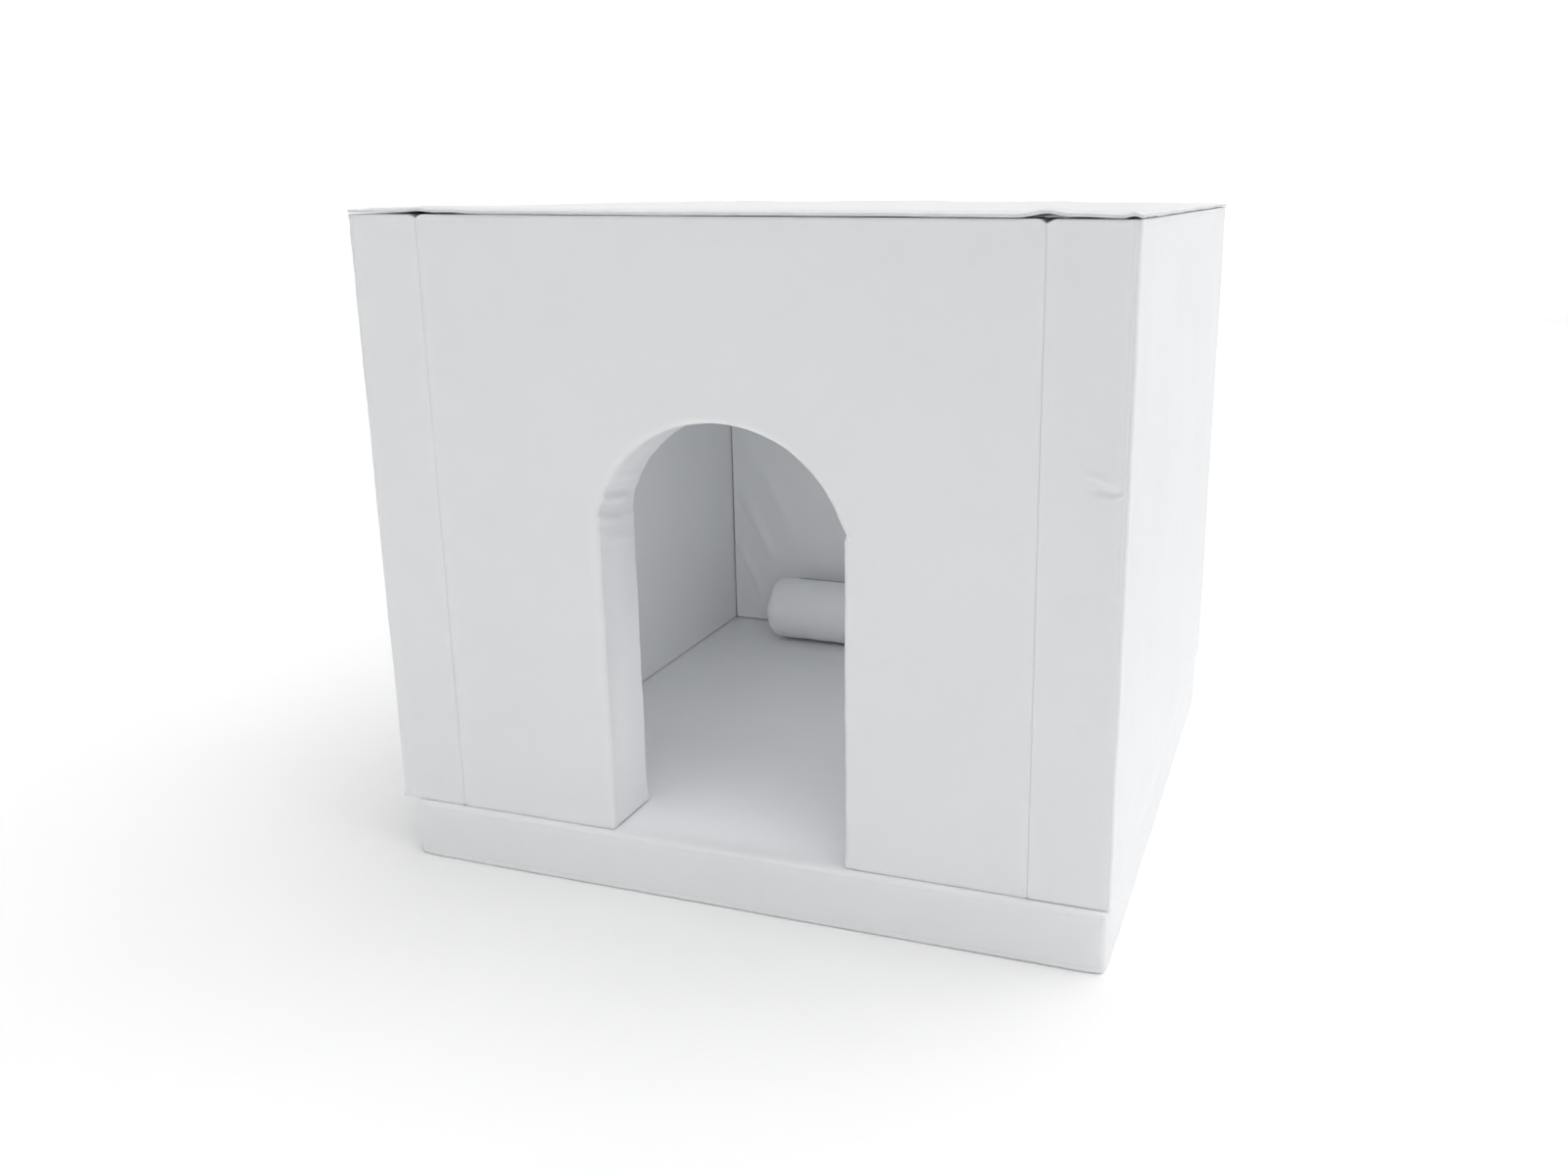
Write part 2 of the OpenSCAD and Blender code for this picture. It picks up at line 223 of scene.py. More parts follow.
# Smooth white vinyl: a fine printed grain, a soft orange peel, faint scuffs and paler worn edges
vinylLook = {
    "dull": (0.815, 0.828, 0.842),
    "worn": (0.885, 0.888, 0.89),
    "roughness": 0.40,
    "grainSize": 0.0011,
    "grainDepth": 0.000035,
    "peelSize": 0.007,
    "peelDepth": 0.00022,
    "waveSize": 0.055,
    "waveDepth": 0.0011,
}


def vinyl(name, look):
    coat = Coat(name)
    edge = addNode(coat.tree, "ShaderNodeAttribute", attribute_name="edge").outputs["Fac"]
    cloud = coat.noise(2.6, 4.0, 0.6)
    smudge = coat.noise(11.0, 6.0, 0.62, 0.8)
    scuff = coat.noise(30.0, 3.0, 0.7, 0.4, stretch=(1.0, 1.0, 0.12))
    colour = coat.tint(coat.spread(cloud, 0.35, 0.75, 0.0, 0.55), slotColour["white_vinyl"], look["dull"])
    colour = coat.tint(coat.spread(smudge, 0.58, 0.78, 0.0, 0.5), colour, look["dull"])
    rub = coat.sum(edge, coat.spread(smudge, 0.35, 0.65, 0.1, 0.8), "MULTIPLY")
    rough = coat.spread(smudge, 0.3, 0.75, look["roughness"] - 0.05, look["roughness"] + 0.10)
    rough = coat.sum(rough, coat.spread(scuff, 0.62, 0.80, 0.0, 0.16))
    rough = coat.sum(rough, coat.spread(edge, 0.0, 1.0, 0.0, 0.07))
    grain = coat.cells(1 / look["grainSize"], "SMOOTH_F1")
    peel = coat.noise(1 / look["peelSize"], 2.0, 0.5)
    wave = coat.noise(1 / look["waveSize"], 2.0, 0.45)
    normal = coat.bump(wave, look["waveDepth"], 0.6)
    normal = coat.bump(peel, look["peelDepth"], 0.7, normal)
    normal = coat.bump(grain, look["grainDepth"], 0.7, normal)
    coat.put(Base_Color=coat.tint(rub, colour, look["worn"]), Roughness=rough, Normal=normal,
             Specular_IOR_Level=0.45, Coat_Weight=0.08, Coat_Roughness=0.32)
    return coat.material


# Brushed nylon loops: a soft pile with a nap
def loopPile(name, colour):
    coat = Coat(name)
    pile = coat.cells(1400.0)
    nap = coat.noise(90.0, 4.0, 0.65, 1.2)
    shade = coat.spread(coat.sum(pile, nap), 0.4, 1.2, 0.0, 1.0)
    coat.put(Base_Color=coat.tint(shade, colour, shaded(colour, 0.72)),
             Roughness=coat.spread(nap, 0.3, 0.7, 0.82, 0.98),
             Normal=coat.bump(pile, 0.0005, 0.9, coat.bump(nap, 0.0008, 0.7)),
             Sheen_Weight=0.35, Sheen_Roughness=0.45)
    return coat.material


# Moulded hooks: rows of tiny shiny points on a woven ground
def hookField(name, colour):
    coat = Coat(name)
    points = coat.spread(coat.cells(620.0, randomness=0.18), 0.1, 0.5, 1.0, 0.0)
    worn = coat.spread(coat.noise(60.0, 3.0, 0.6), 0.5, 0.8, 0.0, 0.4)
    tint = coat.tint(points, shaded(colour, 0.78), colour)
    coat.put(Base_Color=coat.tint(worn, tint, shaded(colour, 0.9)),
             Roughness=coat.spread(points, 0.0, 1.0, 0.62, 0.34),
             Normal=coat.bump(points, 0.0006, 0.9))
    return coat.material


# Woven zip tape
def tapeWeave(name, colour):
    coat = Coat(name)
    weave = coat.sum(coat.ribs(260.0, "X"), coat.ribs(340.0, "Y"), "MULTIPLY")
    worn = coat.noise(35.0, 3.0, 0.6)
    tint = coat.tint(weave, shaded(colour, 0.8), colour)
    coat.put(Base_Color=coat.tint(coat.spread(worn, 0.45, 0.8, 0.0, 0.35), tint, shaded(colour, 0.88)),
             Roughness=coat.spread(worn, 0.3, 0.7, 0.78, 0.92),
             Normal=coat.bump(weave, 0.0003, 0.8), Sheen_Weight=0.2)
    return coat.material


# Moulded nylon for zip teeth and sewing thread
def nylon(name, colour, roughness):
    coat = Coat(name)
    worn = coat.spread(coat.noise(45.0, 3.0, 0.6), 0.4, 0.8, 0.0, 0.5)
    twist = coat.noise(1500.0, 2.0, 0.5)
    coat.put(Base_Color=coat.tint(worn, colour, shaded(colour, 0.86)),
             Roughness=coat.spread(twist, 0.3, 0.7, roughness - 0.06, roughness + 0.08),
             Normal=coat.bump(twist, 0.00008, 0.6))
    return coat.material


# Nickel-plated zip metal: brushed, with dull patches and fine scratches
def plate(name, colour):
    coat = Coat(name)
    patch = coat.noise(160.0, 4.0, 0.6)
    brush = coat.noise(900.0, 2.0, 0.5, stretch=(0.06, 1.0, 1.0))
    tint = coat.tint(coat.spread(patch, 0.45, 0.75, 0.0, 0.7), colour, shaded(colour, 0.72))
    rough = coat.sum(coat.spread(patch, 0.3, 0.7, 0.2, 0.38), coat.spread(brush, 0.3, 0.7, 0.0, 0.1))
    coat.put(Base_Color=tint, Roughness=rough, Normal=coat.bump(brush, 0.00004, 0.6), Metallic=1.0)
    return coat.material


# Anti-slip sheet: matt rubbery cloth
def gripSheet(name, colour):
    coat = Coat(name)
    dust = coat.noise(14.0, 6.0, 0.65, 0.5)
    cloth = coat.cells(900.0, randomness=0.3)
    tint = coat.tint(coat.spread(dust, 0.45, 0.75, 0.0, 0.6), colour, shaded(colour, 1.35))
    coat.put(Base_Color=tint, Roughness=coat.spread(dust, 0.3, 0.7, 0.7, 0.9),
             Normal=coat.bump(cloth, 0.0002, 0.8))
    return coat.material


finishes = {
    "vinyl": vinyl("white_vinyl", vinylLook),
    "loop": loopPile("loop_pile", slotColour["loop_strip"]),
    "hook": hookField("hook_field", slotColour["hook_strip"]),
    "tape": tapeWeave("zip_tape_weave", slotColour["zip_tape"]),
    "teeth": nylon("zip_nylon", slotColour["zip_teeth"], 0.36),
    "thread": nylon("white_thread", slotColour["zip_tape"], 0.6),
    "metal": plate("zip_plate", slotColour["zip_metal"]),
    "grip": gripSheet("grip_cloth", slotColour["antislip_sheet"]),
}
print("materials made")


# Shapes: grids of points in metres, worked on with numpy and made into meshes at the end
def gridLines(lo, hi, step, marks=()):
    # evenly spaced lines that draw closer round each mark (place, half width, fine step)
    place = np.linspace(lo, hi, 6001)
    gap = np.full_like(place, step)
    for at, half, fine in marks:
        gap = np.minimum(gap, fine + 0.3 * np.clip(np.abs(place - at) - half, 0, None))
    count = np.concatenate([[0], np.cumsum(np.diff(place) * 2 / (gap[1:] + gap[:-1]))])
    lines = max(2, int(round(count[-1])))
    return np.interp(np.linspace(0, count[-1], lines + 1), count, place)


def boxShell(us, vs, ws):
    # the outside points of a lattice, and the four-sided faces between them
    shape = (len(us), len(vs), len(ws))
    i, j, k = np.meshgrid(*(np.arange(n) for n in shape), indexing="ij")
    outside = (i % (shape[0] - 1) == 0) | (j % (shape[1] - 1) == 0) | (k % (shape[2] - 1) == 0)
    number = np.full(shape, -1)
    number[outside] = np.arange(outside.sum())
    lattice = np.stack([us[i[outside]], vs[j[outside]], ws[k[outside]]], axis=1)
    quads = []
    for sheet, turned in ((number[0], True), (number[-1], False), (number[:, 0], False),
                          (number[:, -1], True), (number[:, :, 0], True), (number[:, :, -1], False)):
        faces = np.stack([sheet[:-1, :-1], sheet[1:, :-1], sheet[1:, 1:], sheet[:-1, 1:]], -1).reshape(-1, 4)
        quads.append(faces[:, ::-1] if turned else faces)
    return lattice, np.concatenate(quads)


def outward(points, quads):
    # turns the faces round if they point in
    a, b, c, d = (points[quads[:, corner]] for corner in range(4))
    volume = (a * np.cross(b, c)).sum() + (a * np.cross(c, d)).sum()
    return quads if volume > 0 else quads[:, ::-1]


def skinNormals(points, quads):
    a, b, c, d = (points[quads[:, corner]] for corner in range(4))
    across = np.cross(c - a, d - b)
    normals = np.zeros_like(points)
    for corner in range(4):
        np.add.at(normals, quads[:, corner], across)
    return normals / np.maximum(np.linalg.norm(normals, axis=1, keepdims=True), 1e-12)


def roundOff(points, gaps, ways, radius):
    # gaps are distances to the nearest face on each axis, ways point inwards from it
    deep = [np.clip(1 - gap / radius, 0, None) for gap in gaps]
    span = np.sqrt(sum(part * part for part in deep)) + 1e-12
    most = np.maximum.reduce(deep)
    moved = points.copy()
    for part, way in zip(deep, ways):
        moved += way * (radius * part * (1 - most / span))[:, None]
    return moved


def softNoise(points, size, seed):
    # smooth random hills, from -1 to 1, about one size apart; size may differ on each axis
    lattice = np.random.default_rng(seed).uniform(-1, 1, (32, 32, 32))
    cell = points / np.asarray(size) + 512.37
    base = np.floor(cell).astype(int)
    part = cell - base
    part = part * part * part * (part * (part * 6 - 15) + 10)
    total = np.zeros(len(points))
    for corner in range(8):
        step = np.array([corner & 1, corner >> 1 & 1, corner >> 2 & 1])
        weight = np.prod(np.where(step, part, 1 - part), axis=1)
        total += weight * lattice[tuple(((base + step) % 32).T)]
    return total


def twoNoises(points, size, share, smallSize, seed):
    return softNoise(points, size, seed) + share * softNoise(points, smallSize, seed + 1)


def onLine(values):
    # places on one line, for hills that change along it only
    return np.stack([values, 0 * values, 0 * values], 1)


def hump(distance, width):
    return np.exp(-(distance / width) ** 2)


def fade(value, low, high):
    part = np.clip((value - low) / (high - low), 0, 1)
    return part * part * (3 - 2 * part)


def crease(plane, start, end, height, width):
    # a fold in the cover from start to end, raised in the middle with a trough on both sides
    run = end - start
    along = np.clip(((plane - start) @ run) / (run @ run), 0, 1)
    off = np.linalg.norm(plane - start - along[:, None] * run, axis=1) / width
    swell = np.sin(np.pi * np.clip(along, 0.02, 0.98)) ** 0.6
    return height * swell * (1 - 0.9 * off * off) * np.exp(-off * off)


def creases(plane, at, folds):
    # a table of folds: start and end seen from one point, height, width
    return sum(crease(plane, np.add(at, start), np.add(at, end), *size) for start, end, *size in folds)


def seamLine(flat, across, at, depth, width, pucker, seed):
    # a stitched seam: a narrow groove that wanders, with gathered ripples on both sides of it
    line = flat.copy()
    line[:, across] = 0
    wander = 0.0007 * softNoise(line, 0.05, seed)
    ripple = softNoise(line, 0.011, seed + 1) + 0.6 * softNoise(line, 0.023, seed + 2)
    off = flat[:, across] - at - wander
    return -depth * (1 + 0.35 * ripple) * hump(off, width) + pucker * ripple * hump(off, 7 * width)


def sewn(look, flat, across, at, depth, seed):
    return seamLine(flat, across, at, depth, look["seamWidth"], look["seamPucker"], look["seed"] + seed)


def plainMesh(name, points, faces, material):
    mesh = bpy.data.meshes.new(name)
    mesh.from_pydata(points.tolist(), [], faces.tolist() if isinstance(faces, np.ndarray) else faces)
    mesh.polygons.foreach_set("use_smooth", np.ones(len(mesh.polygons), dtype=bool))
    mesh.materials.append(material)
    return mesh


def makePiece(name, points, faces, body, material, edge=0.2, uv=None):
    # edge says how worn each point is, from 0 to 1
    mesh = plainMesh(name, points, faces, material)
    worn = np.broadcast_to(edge, len(points)).astype(np.float32)
    mesh.attributes.new("edge", "FLOAT", "POINT").data.foreach_set("value", worn)
    if uv is not None:
        corners = np.zeros(len(mesh.loops), dtype=np.int32)
        mesh.loops.foreach_get("vertex_index", corners)
        mesh.uv_layers.new(name="UVMap").data.foreach_set("uv", uv[corners].astype(np.float32).ravel())
    mesh.update()
    piece = bpy.data.objects.new(name, mesh)
    scene.collection.objects.link(piece)
    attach(piece, body)
    return piece


def makePadded(name, points, faces, body, nodes, edge):
    piece = makePiece(name, points, faces, body, finishes["vinyl"], edge)
    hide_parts(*nodes)
    print(name, len(faces), "faces")


# Every box-shaped panel: foam in a sewn cover, with soft edges that differ from edge to edge
def node3(name):
    lo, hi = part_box(name)
    return np.array(lo), np.array(hi)


def gapTo(flat, axis, lo, hi):
    # distance to the nearer end of the box on one axis
    return np.minimum(flat[:, axis] - lo[axis], hi[axis] - flat[:, axis])


def boxGaps(flat, lo, hi):
    ways = []
    for axis in range(3):
        way = np.zeros_like(flat)
        way[:, axis] = np.where(flat[:, axis] - lo[axis] < hi[axis] - flat[:, axis], 1, -1)
        ways.append(way)
    return [gapTo(flat, axis, lo, hi) for axis in range(3)], ways


def edgeFade(gaps, reach=0.016):
    # 1 at an edge, 0 on the open face
    ordered = np.sort(np.stack(gaps), axis=0)
    return hump(ordered[1], reach)


def facing(flat, axis, at, reach=0.010):
    # 1 on the face at that place, 0 from a reach away
    return np.clip(1 - np.abs(flat[:, axis] - at) / reach, 0, 1)


def onFace(gap):
    return gap < 1e-6


# The panels' shared fabric values; each panel has its own dictionary of what differs
fabric = {
    "step": 0.0082,
    "fine": 0.0018,
    "outerRadius": 0.009,
    "waves": (               # height, size, seed
        (0.0010, (0.28, 0.28, 0.36), 0),
        (0.00045, (0.075, 0.075, 0.13), 7),
        (0.00014, (0.022, 0.022, 0.03), 11),
    ),
    "footRadius": 0.0026,    # edges that lie on the base or under the roof
    "seamRadius": 0.00035,   # edges pressed against the wall beside them
    "edgeReach": 0.02,       # how far in from an edge its own radius holds
    "seamDepth": 0.0015,
    "seamWidth": 0.0018,
    "seamPucker": 0.00045,
    "seamInset": 0.009,      # seam to the panel's edge
    "jointGive": 0.00099,    # how far a cover swells into the gap beside it
    "jointReach": 0.017,     # and how far in from the open edge of that gap
    "restGive": 0.0002,      # further in, where it lies on foam
    "topNotch": (0.0046, 0.0065, 0.010, 0.05),       # rubbed corner over a joint: depth and reaches
    "footNotch": (0.0016, 0.004, 0.006, 0.03),
}


def fabricWaves(flat, look):
    return sum(high * softNoise(flat, size, look["seed"] + seed) for high, size, seed in look["waves"])


def tighter(look, edge, share):
    # the edge radius, from open where share is 0 to that edge's own where it is 1
    return look["outerRadius"] - (look["outerRadius"] - look[edge]) * share


def boxPanel(name, nodes, look, features, radiusAt=None, marks=None, body="den"):
    lo, hi = node3(nodes[0])
    lines = []
    for axis in range(3):
        rim = look["outerRadius"] + 0.004
        fine = [(lo[axis], rim, look["fine"]), (hi[axis], rim, look["fine"])] + (marks or {}).get(axis, [])
        lines.append(gridLines(lo[axis], hi[axis], look["step"], fine))
    flat, quads = boxShell(*lines)
    gaps, ways = boxGaps(flat, lo, hi)
    points = roundOff(flat, gaps, ways, radiusAt(flat) if radiusAt else look["outerRadius"])
    quads = outward(points, quads)
    out = skinNormals(points, quads)
    points = features(flat, points, out, fabricWaves(flat, look))
    makePadded(name, points, quads, body, nodes, edgeFade(gaps))


def restOn(lift, pressed, fromRim, look):
    # a face that lies against another panel: flat inside, pressed close along its open edges
    rim = hump(fromRim, look["jointReach"])
    close = rim * look["jointGive"] + (1 - rim) * np.minimum(lift, look["restGive"])
    return np.where(pressed, close, lift)


def flatUnderZip(lift, flat, axis, node):
    # keeps the cover flat where a zip tape lies on it
    lo, hi = node3(node)
    outside = np.maximum(lo - flat, flat - hi)
    outside[:, axis] = 0
    reach = np.linalg.norm(np.clip(outside, 0, None), axis=1)
    near = np.minimum(np.abs(flat[:, axis] - lo[axis]), np.abs(flat[:, axis] - hi[axis])) < 0.004
    return lift * np.where(near, fade(reach, 0.008, 0.024), 1)


def notch(size, across, level, depth):
    most, wide, high, deep = size
    return most * hump(across, wide) * hump(level, high) * hump(depth, deep)


# Left and right walls
sideLook = {
    **fabric,
    "cornerRadius": 0.0052,  # the outer front corner
    "cornerSeam": 0.0052,    # the gathered seam down it, in from the outside
    "cornerPucker": 1.8,
    "cornerLow": 0.55,       # strength of that seam low down, what it gains, and between which heights
    "cornerGain": (0.6, 0.42, 0.6),
    "secondSeam": (0.0055, 0.0007, 0.0013, 0.0001),  # from the first, depth, width, pucker
    "secondRise": (0.4, 0.55),
    "edgeSeam": 0.0007,      # depth of the seams along the top and foot of the outside
    "footBead": (0.0012, 0.0045, 0.0026),            # bead under the foot's seam: height, place, width
    "lean": 0.0011,          # how far the outer front corner leans in and out
    "creaseHeight": 0.648,   # share of the wall's height
    "folds": (),             # creases on the front end: places from the corner, height, width
}
leftLook = {**sideLook, "seed": 47, "frontSwell": 0.0006}
rightLook = {
    **sideLook,
    "seed": 31,
    "frontSwell": 0.0012,
    "folds": (
        ((-0.066, 0.013), (-0.008, -0.002), 0.0036, 0.0066),
        ((-0.056, -0.009), (-0.010, -0.015), -0.0024, 0.0072),
        ((-0.022, -0.022), (-0.003, -0.011), 0.0034, 0.0038),
        ((-0.032, -0.160), (-0.008, -0.154), 0.0019, 0.0052),
        ((-0.036, -0.305), (-0.008, -0.300), 0.0020, 0.0056),
        ((-0.046, 0.062), (-0.042, -0.040), -0.0018, 0.0120),
        ((-0.030, 0.200), (-0.010, 0.206), 0.0014, 0.0060),
    ),
}


def sideWall(name, node, look, sign):
    lo, hi = node3(node + "_wall_cover")
    inner, outer = (lo[0], hi[0]) if sign > 0 else (hi[0], lo[0])
    height = hi[2] - lo[2]
    seamAt = outer - sign * look["cornerSeam"]
    creaseAt = lo[2] + look["creaseHeight"] * height

    def radiusAt(flat):
        # tight where the front wall butts against it, soft elsewhere
        reach = look["edgeReach"]
        byJoint = hump(flat[:, 0] - inner, reach)
        byFoot = hump(gapTo(flat, 2, lo, hi), reach)
        byCorner = hump(flat[:, 0] - outer, reach) * hump(flat[:, 1] - lo[1], reach)
        shares = (("footRadius", byFoot), ("cornerRadius", byCorner), ("seamRadius", byJoint))
        return np.minimum.reduce([tighter(look, edge, share) for edge, share in shares])

    def features(flat, points, out, lift):
        front, rear = facing(flat, 1, lo[1]), facing(flat, 1, hi[1])
        outside = facing(flat, 0, outer)
        across, depth, rise = (flat[:, 0] - inner) * sign, flat[:, 1] - lo[1], flat[:, 2] - lo[2]
        # the gathered seam down the outer corner, strongest in the upper part, and a finer one beside it
        gain, low, high = look["cornerGain"]
        strength = look["cornerLow"] + gain * fade(rise, low * height, high * height)
        pucker = look["seamPucker"] * look["cornerPucker"]
        corner = seamLine(flat, 0, seamAt, look["seamDepth"], look["seamWidth"], pucker, look["seed"] + 1)
        lift = lift + front * strength * corner
        beside, *shape = look["secondSeam"]
        low, high = look["secondRise"]
        second = seamLine(flat, 0, seamAt - sign * beside, *shape, look["seed"] + 5)
        lift += front * fade(rise, low * height, high * height) * second
        inset = look["seamInset"]
        lift += rear * sewn(look, flat, 0, outer - sign * inset, look["seamDepth"], 9)
        lift += outside * sewn(look, flat, 2, hi[2] - inset, look["edgeSeam"], 13)
        lift += outside * sewn(look, flat, 2, lo[2] + inset, look["edgeSeam"], 15)
        high, level, wide = look["footBead"]
        lift += outside * high * hump(rise - level, wide)
        swell = np.sin(np.pi * np.clip(across / (hi[0] - lo[0]), 0, 1)) ** 0.7
        lift += look["frontSwell"] * front * swell
        lift += front * creases(flat[:, (0, 2)], (outer, creaseAt), look["folds"])
        byEnds = gapTo(flat, 1, lo, hi)
        lift = restOn(lift, onFace(np.abs(flat[:, 0] - inner)), byEnds, look)
        lift = flatUnderZip(lift, flat, 1, node + "_zip_tape")
        byRim = np.minimum(np.abs(flat[:, 0] - outer), byEnds)
        lift = restOn(lift, onFace(gapTo(flat, 2, lo, hi)), byRim, look)
        points = points + out * lift[:, None]
        points[:, 2] -= notch(look["topNotch"], across, hi[2] - flat[:, 2], depth)
        points[:, 2] += notch(look["footNotch"], across, rise, depth)
        lean = sign * look["lean"] * softNoise(onLine(rise)[:, ::-1], 0.12, look["seed"] + 3)
        points[:, 0] += lean * hump(flat[:, 0] - outer, 0.03) * hump(depth, 0.04)
        return points

    marks = {0: [(seamAt, 0.009, 0.0011), (inner, 0.003, 0.0007)]}
    if look["folds"]:
        marks[2] = [(creaseAt, 0.03, 0.0022)]
    boxPanel(name, (node + "_wall_cover", node + "_wall_foam"), look, features, radiusAt, marks)


# Back wall, between the side walls
backLook = {
    **fabric,
    "waves": (
        (0.0013, (0.28, 0.28, 0.36), 0),
        (0.0008, (0.075, 0.075, 0.13), 7),
        (0.00014, (0.022, 0.022, 0.03), 11),
    ),
    "insideRadius": 0.0042,  # edges round the inside face
    "outsideRadius": 0.0012,
    "edgeSeam": 0.0008,
    "seed": 63,
    # loose cover in the lower left corner: folds that run down and away from the joint
    "folds": (
        ((0.020, 0.330), (0.110, 0.150), 0.0052, 0.016),
        ((0.060, 0.420), (0.170, 0.210), 0.0038, 0.022),
        ((0.010, 0.200), (0.075, 0.055), 0.0042, 0.012),
        ((0.120, 0.120), (0.300, 0.060), 0.0022, 0.020),
        ((0.030, 0.560), (0.060, 0.380), 0.0022, 0.018),
        ((0.330, 0.200), (0.460, 0.090), 0.0024, 0.024),
    ),
}


def backWall(look):
    lo, hi = node3("back_wall_cover")

    def radiusAt(flat):
        rear = fade(flat[:, 1], lo[1] + 0.03, hi[1] - 0.03)
        share = hump(np.minimum(gapTo(flat, 0, lo, hi), gapTo(flat, 2, lo, hi)), look["edgeReach"])
        inside, outside = tighter(look, "insideRadius", share), tighter(look, "outsideRadius", share)
        return inside * (1 - rear) + outside * rear

    def features(flat, points, out, lift):
        inside, outside = facing(flat, 1, lo[1]), facing(flat, 1, hi[1])
        lift = lift + inside * creases(flat[:, (0, 2)], (lo[0], lo[2]), look["folds"])
        for edge, seed in ((lo[2] + look["seamInset"], 4), (hi[2] - look["seamInset"], 3)):
            lift += outside * sewn(look, flat, 2, edge, look["edgeSeam"], seed)
        for axis in (0, 2):
            lift = restOn(lift, onFace(gapTo(flat, axis, lo, hi)), hi[1] - flat[:, 1], look)
        return points + out * lift[:, None]

    marks = {0: [(lo[0] + 0.1, 0.16, 0.0055)], 2: [(lo[2] + 0.2, 0.25, 0.0055)]}
    boxPanel("BackWall", ("back_wall_cover", "back_wall_foam"), look, features, radiusAt, marks)


# Front wall: one band of grid lines from the doorway's outline to the wall's edges
frontLook = {
    **fabric,
    "waves": ((0.0009, (0.28, 0.28, 0.36), 0), *fabric["waves"][1:]),
    "seed": 84,
    "doorHalf": 0.205,       # half the doorway's width
    "springing": 0.543,      # where the arch starts, above the wall's underside
    "rise": 0.155,           # from there to the crown
    "doorRadius": 0.011,
    "revealSeam": 0.012,     # seam in the doorway, behind its front edge
    "revealDepth": 0.0010,
    "revealPucker": 0.00035,
    "pleatDepth": 0.0013,
    "pleatPitch": 0.031,
    "pleatReach": 0.070,
    # folds of the lining: places along the doorway from the springing and in depth, height, width
    "folds": (
        ((0.066, 0.002), (0.050, 0.110), 0.0034, 0.0105),
        ((0.026, 0.001), (0.012, 0.095), 0.0046, 0.0095),
        ((-0.012, 0.001), (-0.022, 0.070), 0.0043, 0.0088),
        ((-0.044, 0.004), (-0.060, 0.110), 0.0026, 0.0110),
        ((-0.185, 0.004), (-0.150, 0.115), 0.0017, 0.0140),
        ((-0.330, 0.006), (-0.290, 0.100), 0.0014, 0.0140),
        ((0.130, 0.004), (0.120, 0.100), 0.0018, 0.0110),
    ),
    "tuck": (((0.001, 0.004), (0.016, -0.006), 0.0024, 0.0042),),        # at the right springing
    "rimPucker": 0.0004,
    "endSeam": 0.0006,
    "topSeam": 0.0003,
    "topNotch": (0.0050, 0.0065, 0.010, 0.05),
    "pinch": 0.0032,         # where each jamb meets the arch
    "sway": ((0.0013, 0.10, 33), (0.0005, 0.035, 34)),                   # height, size, seed
}


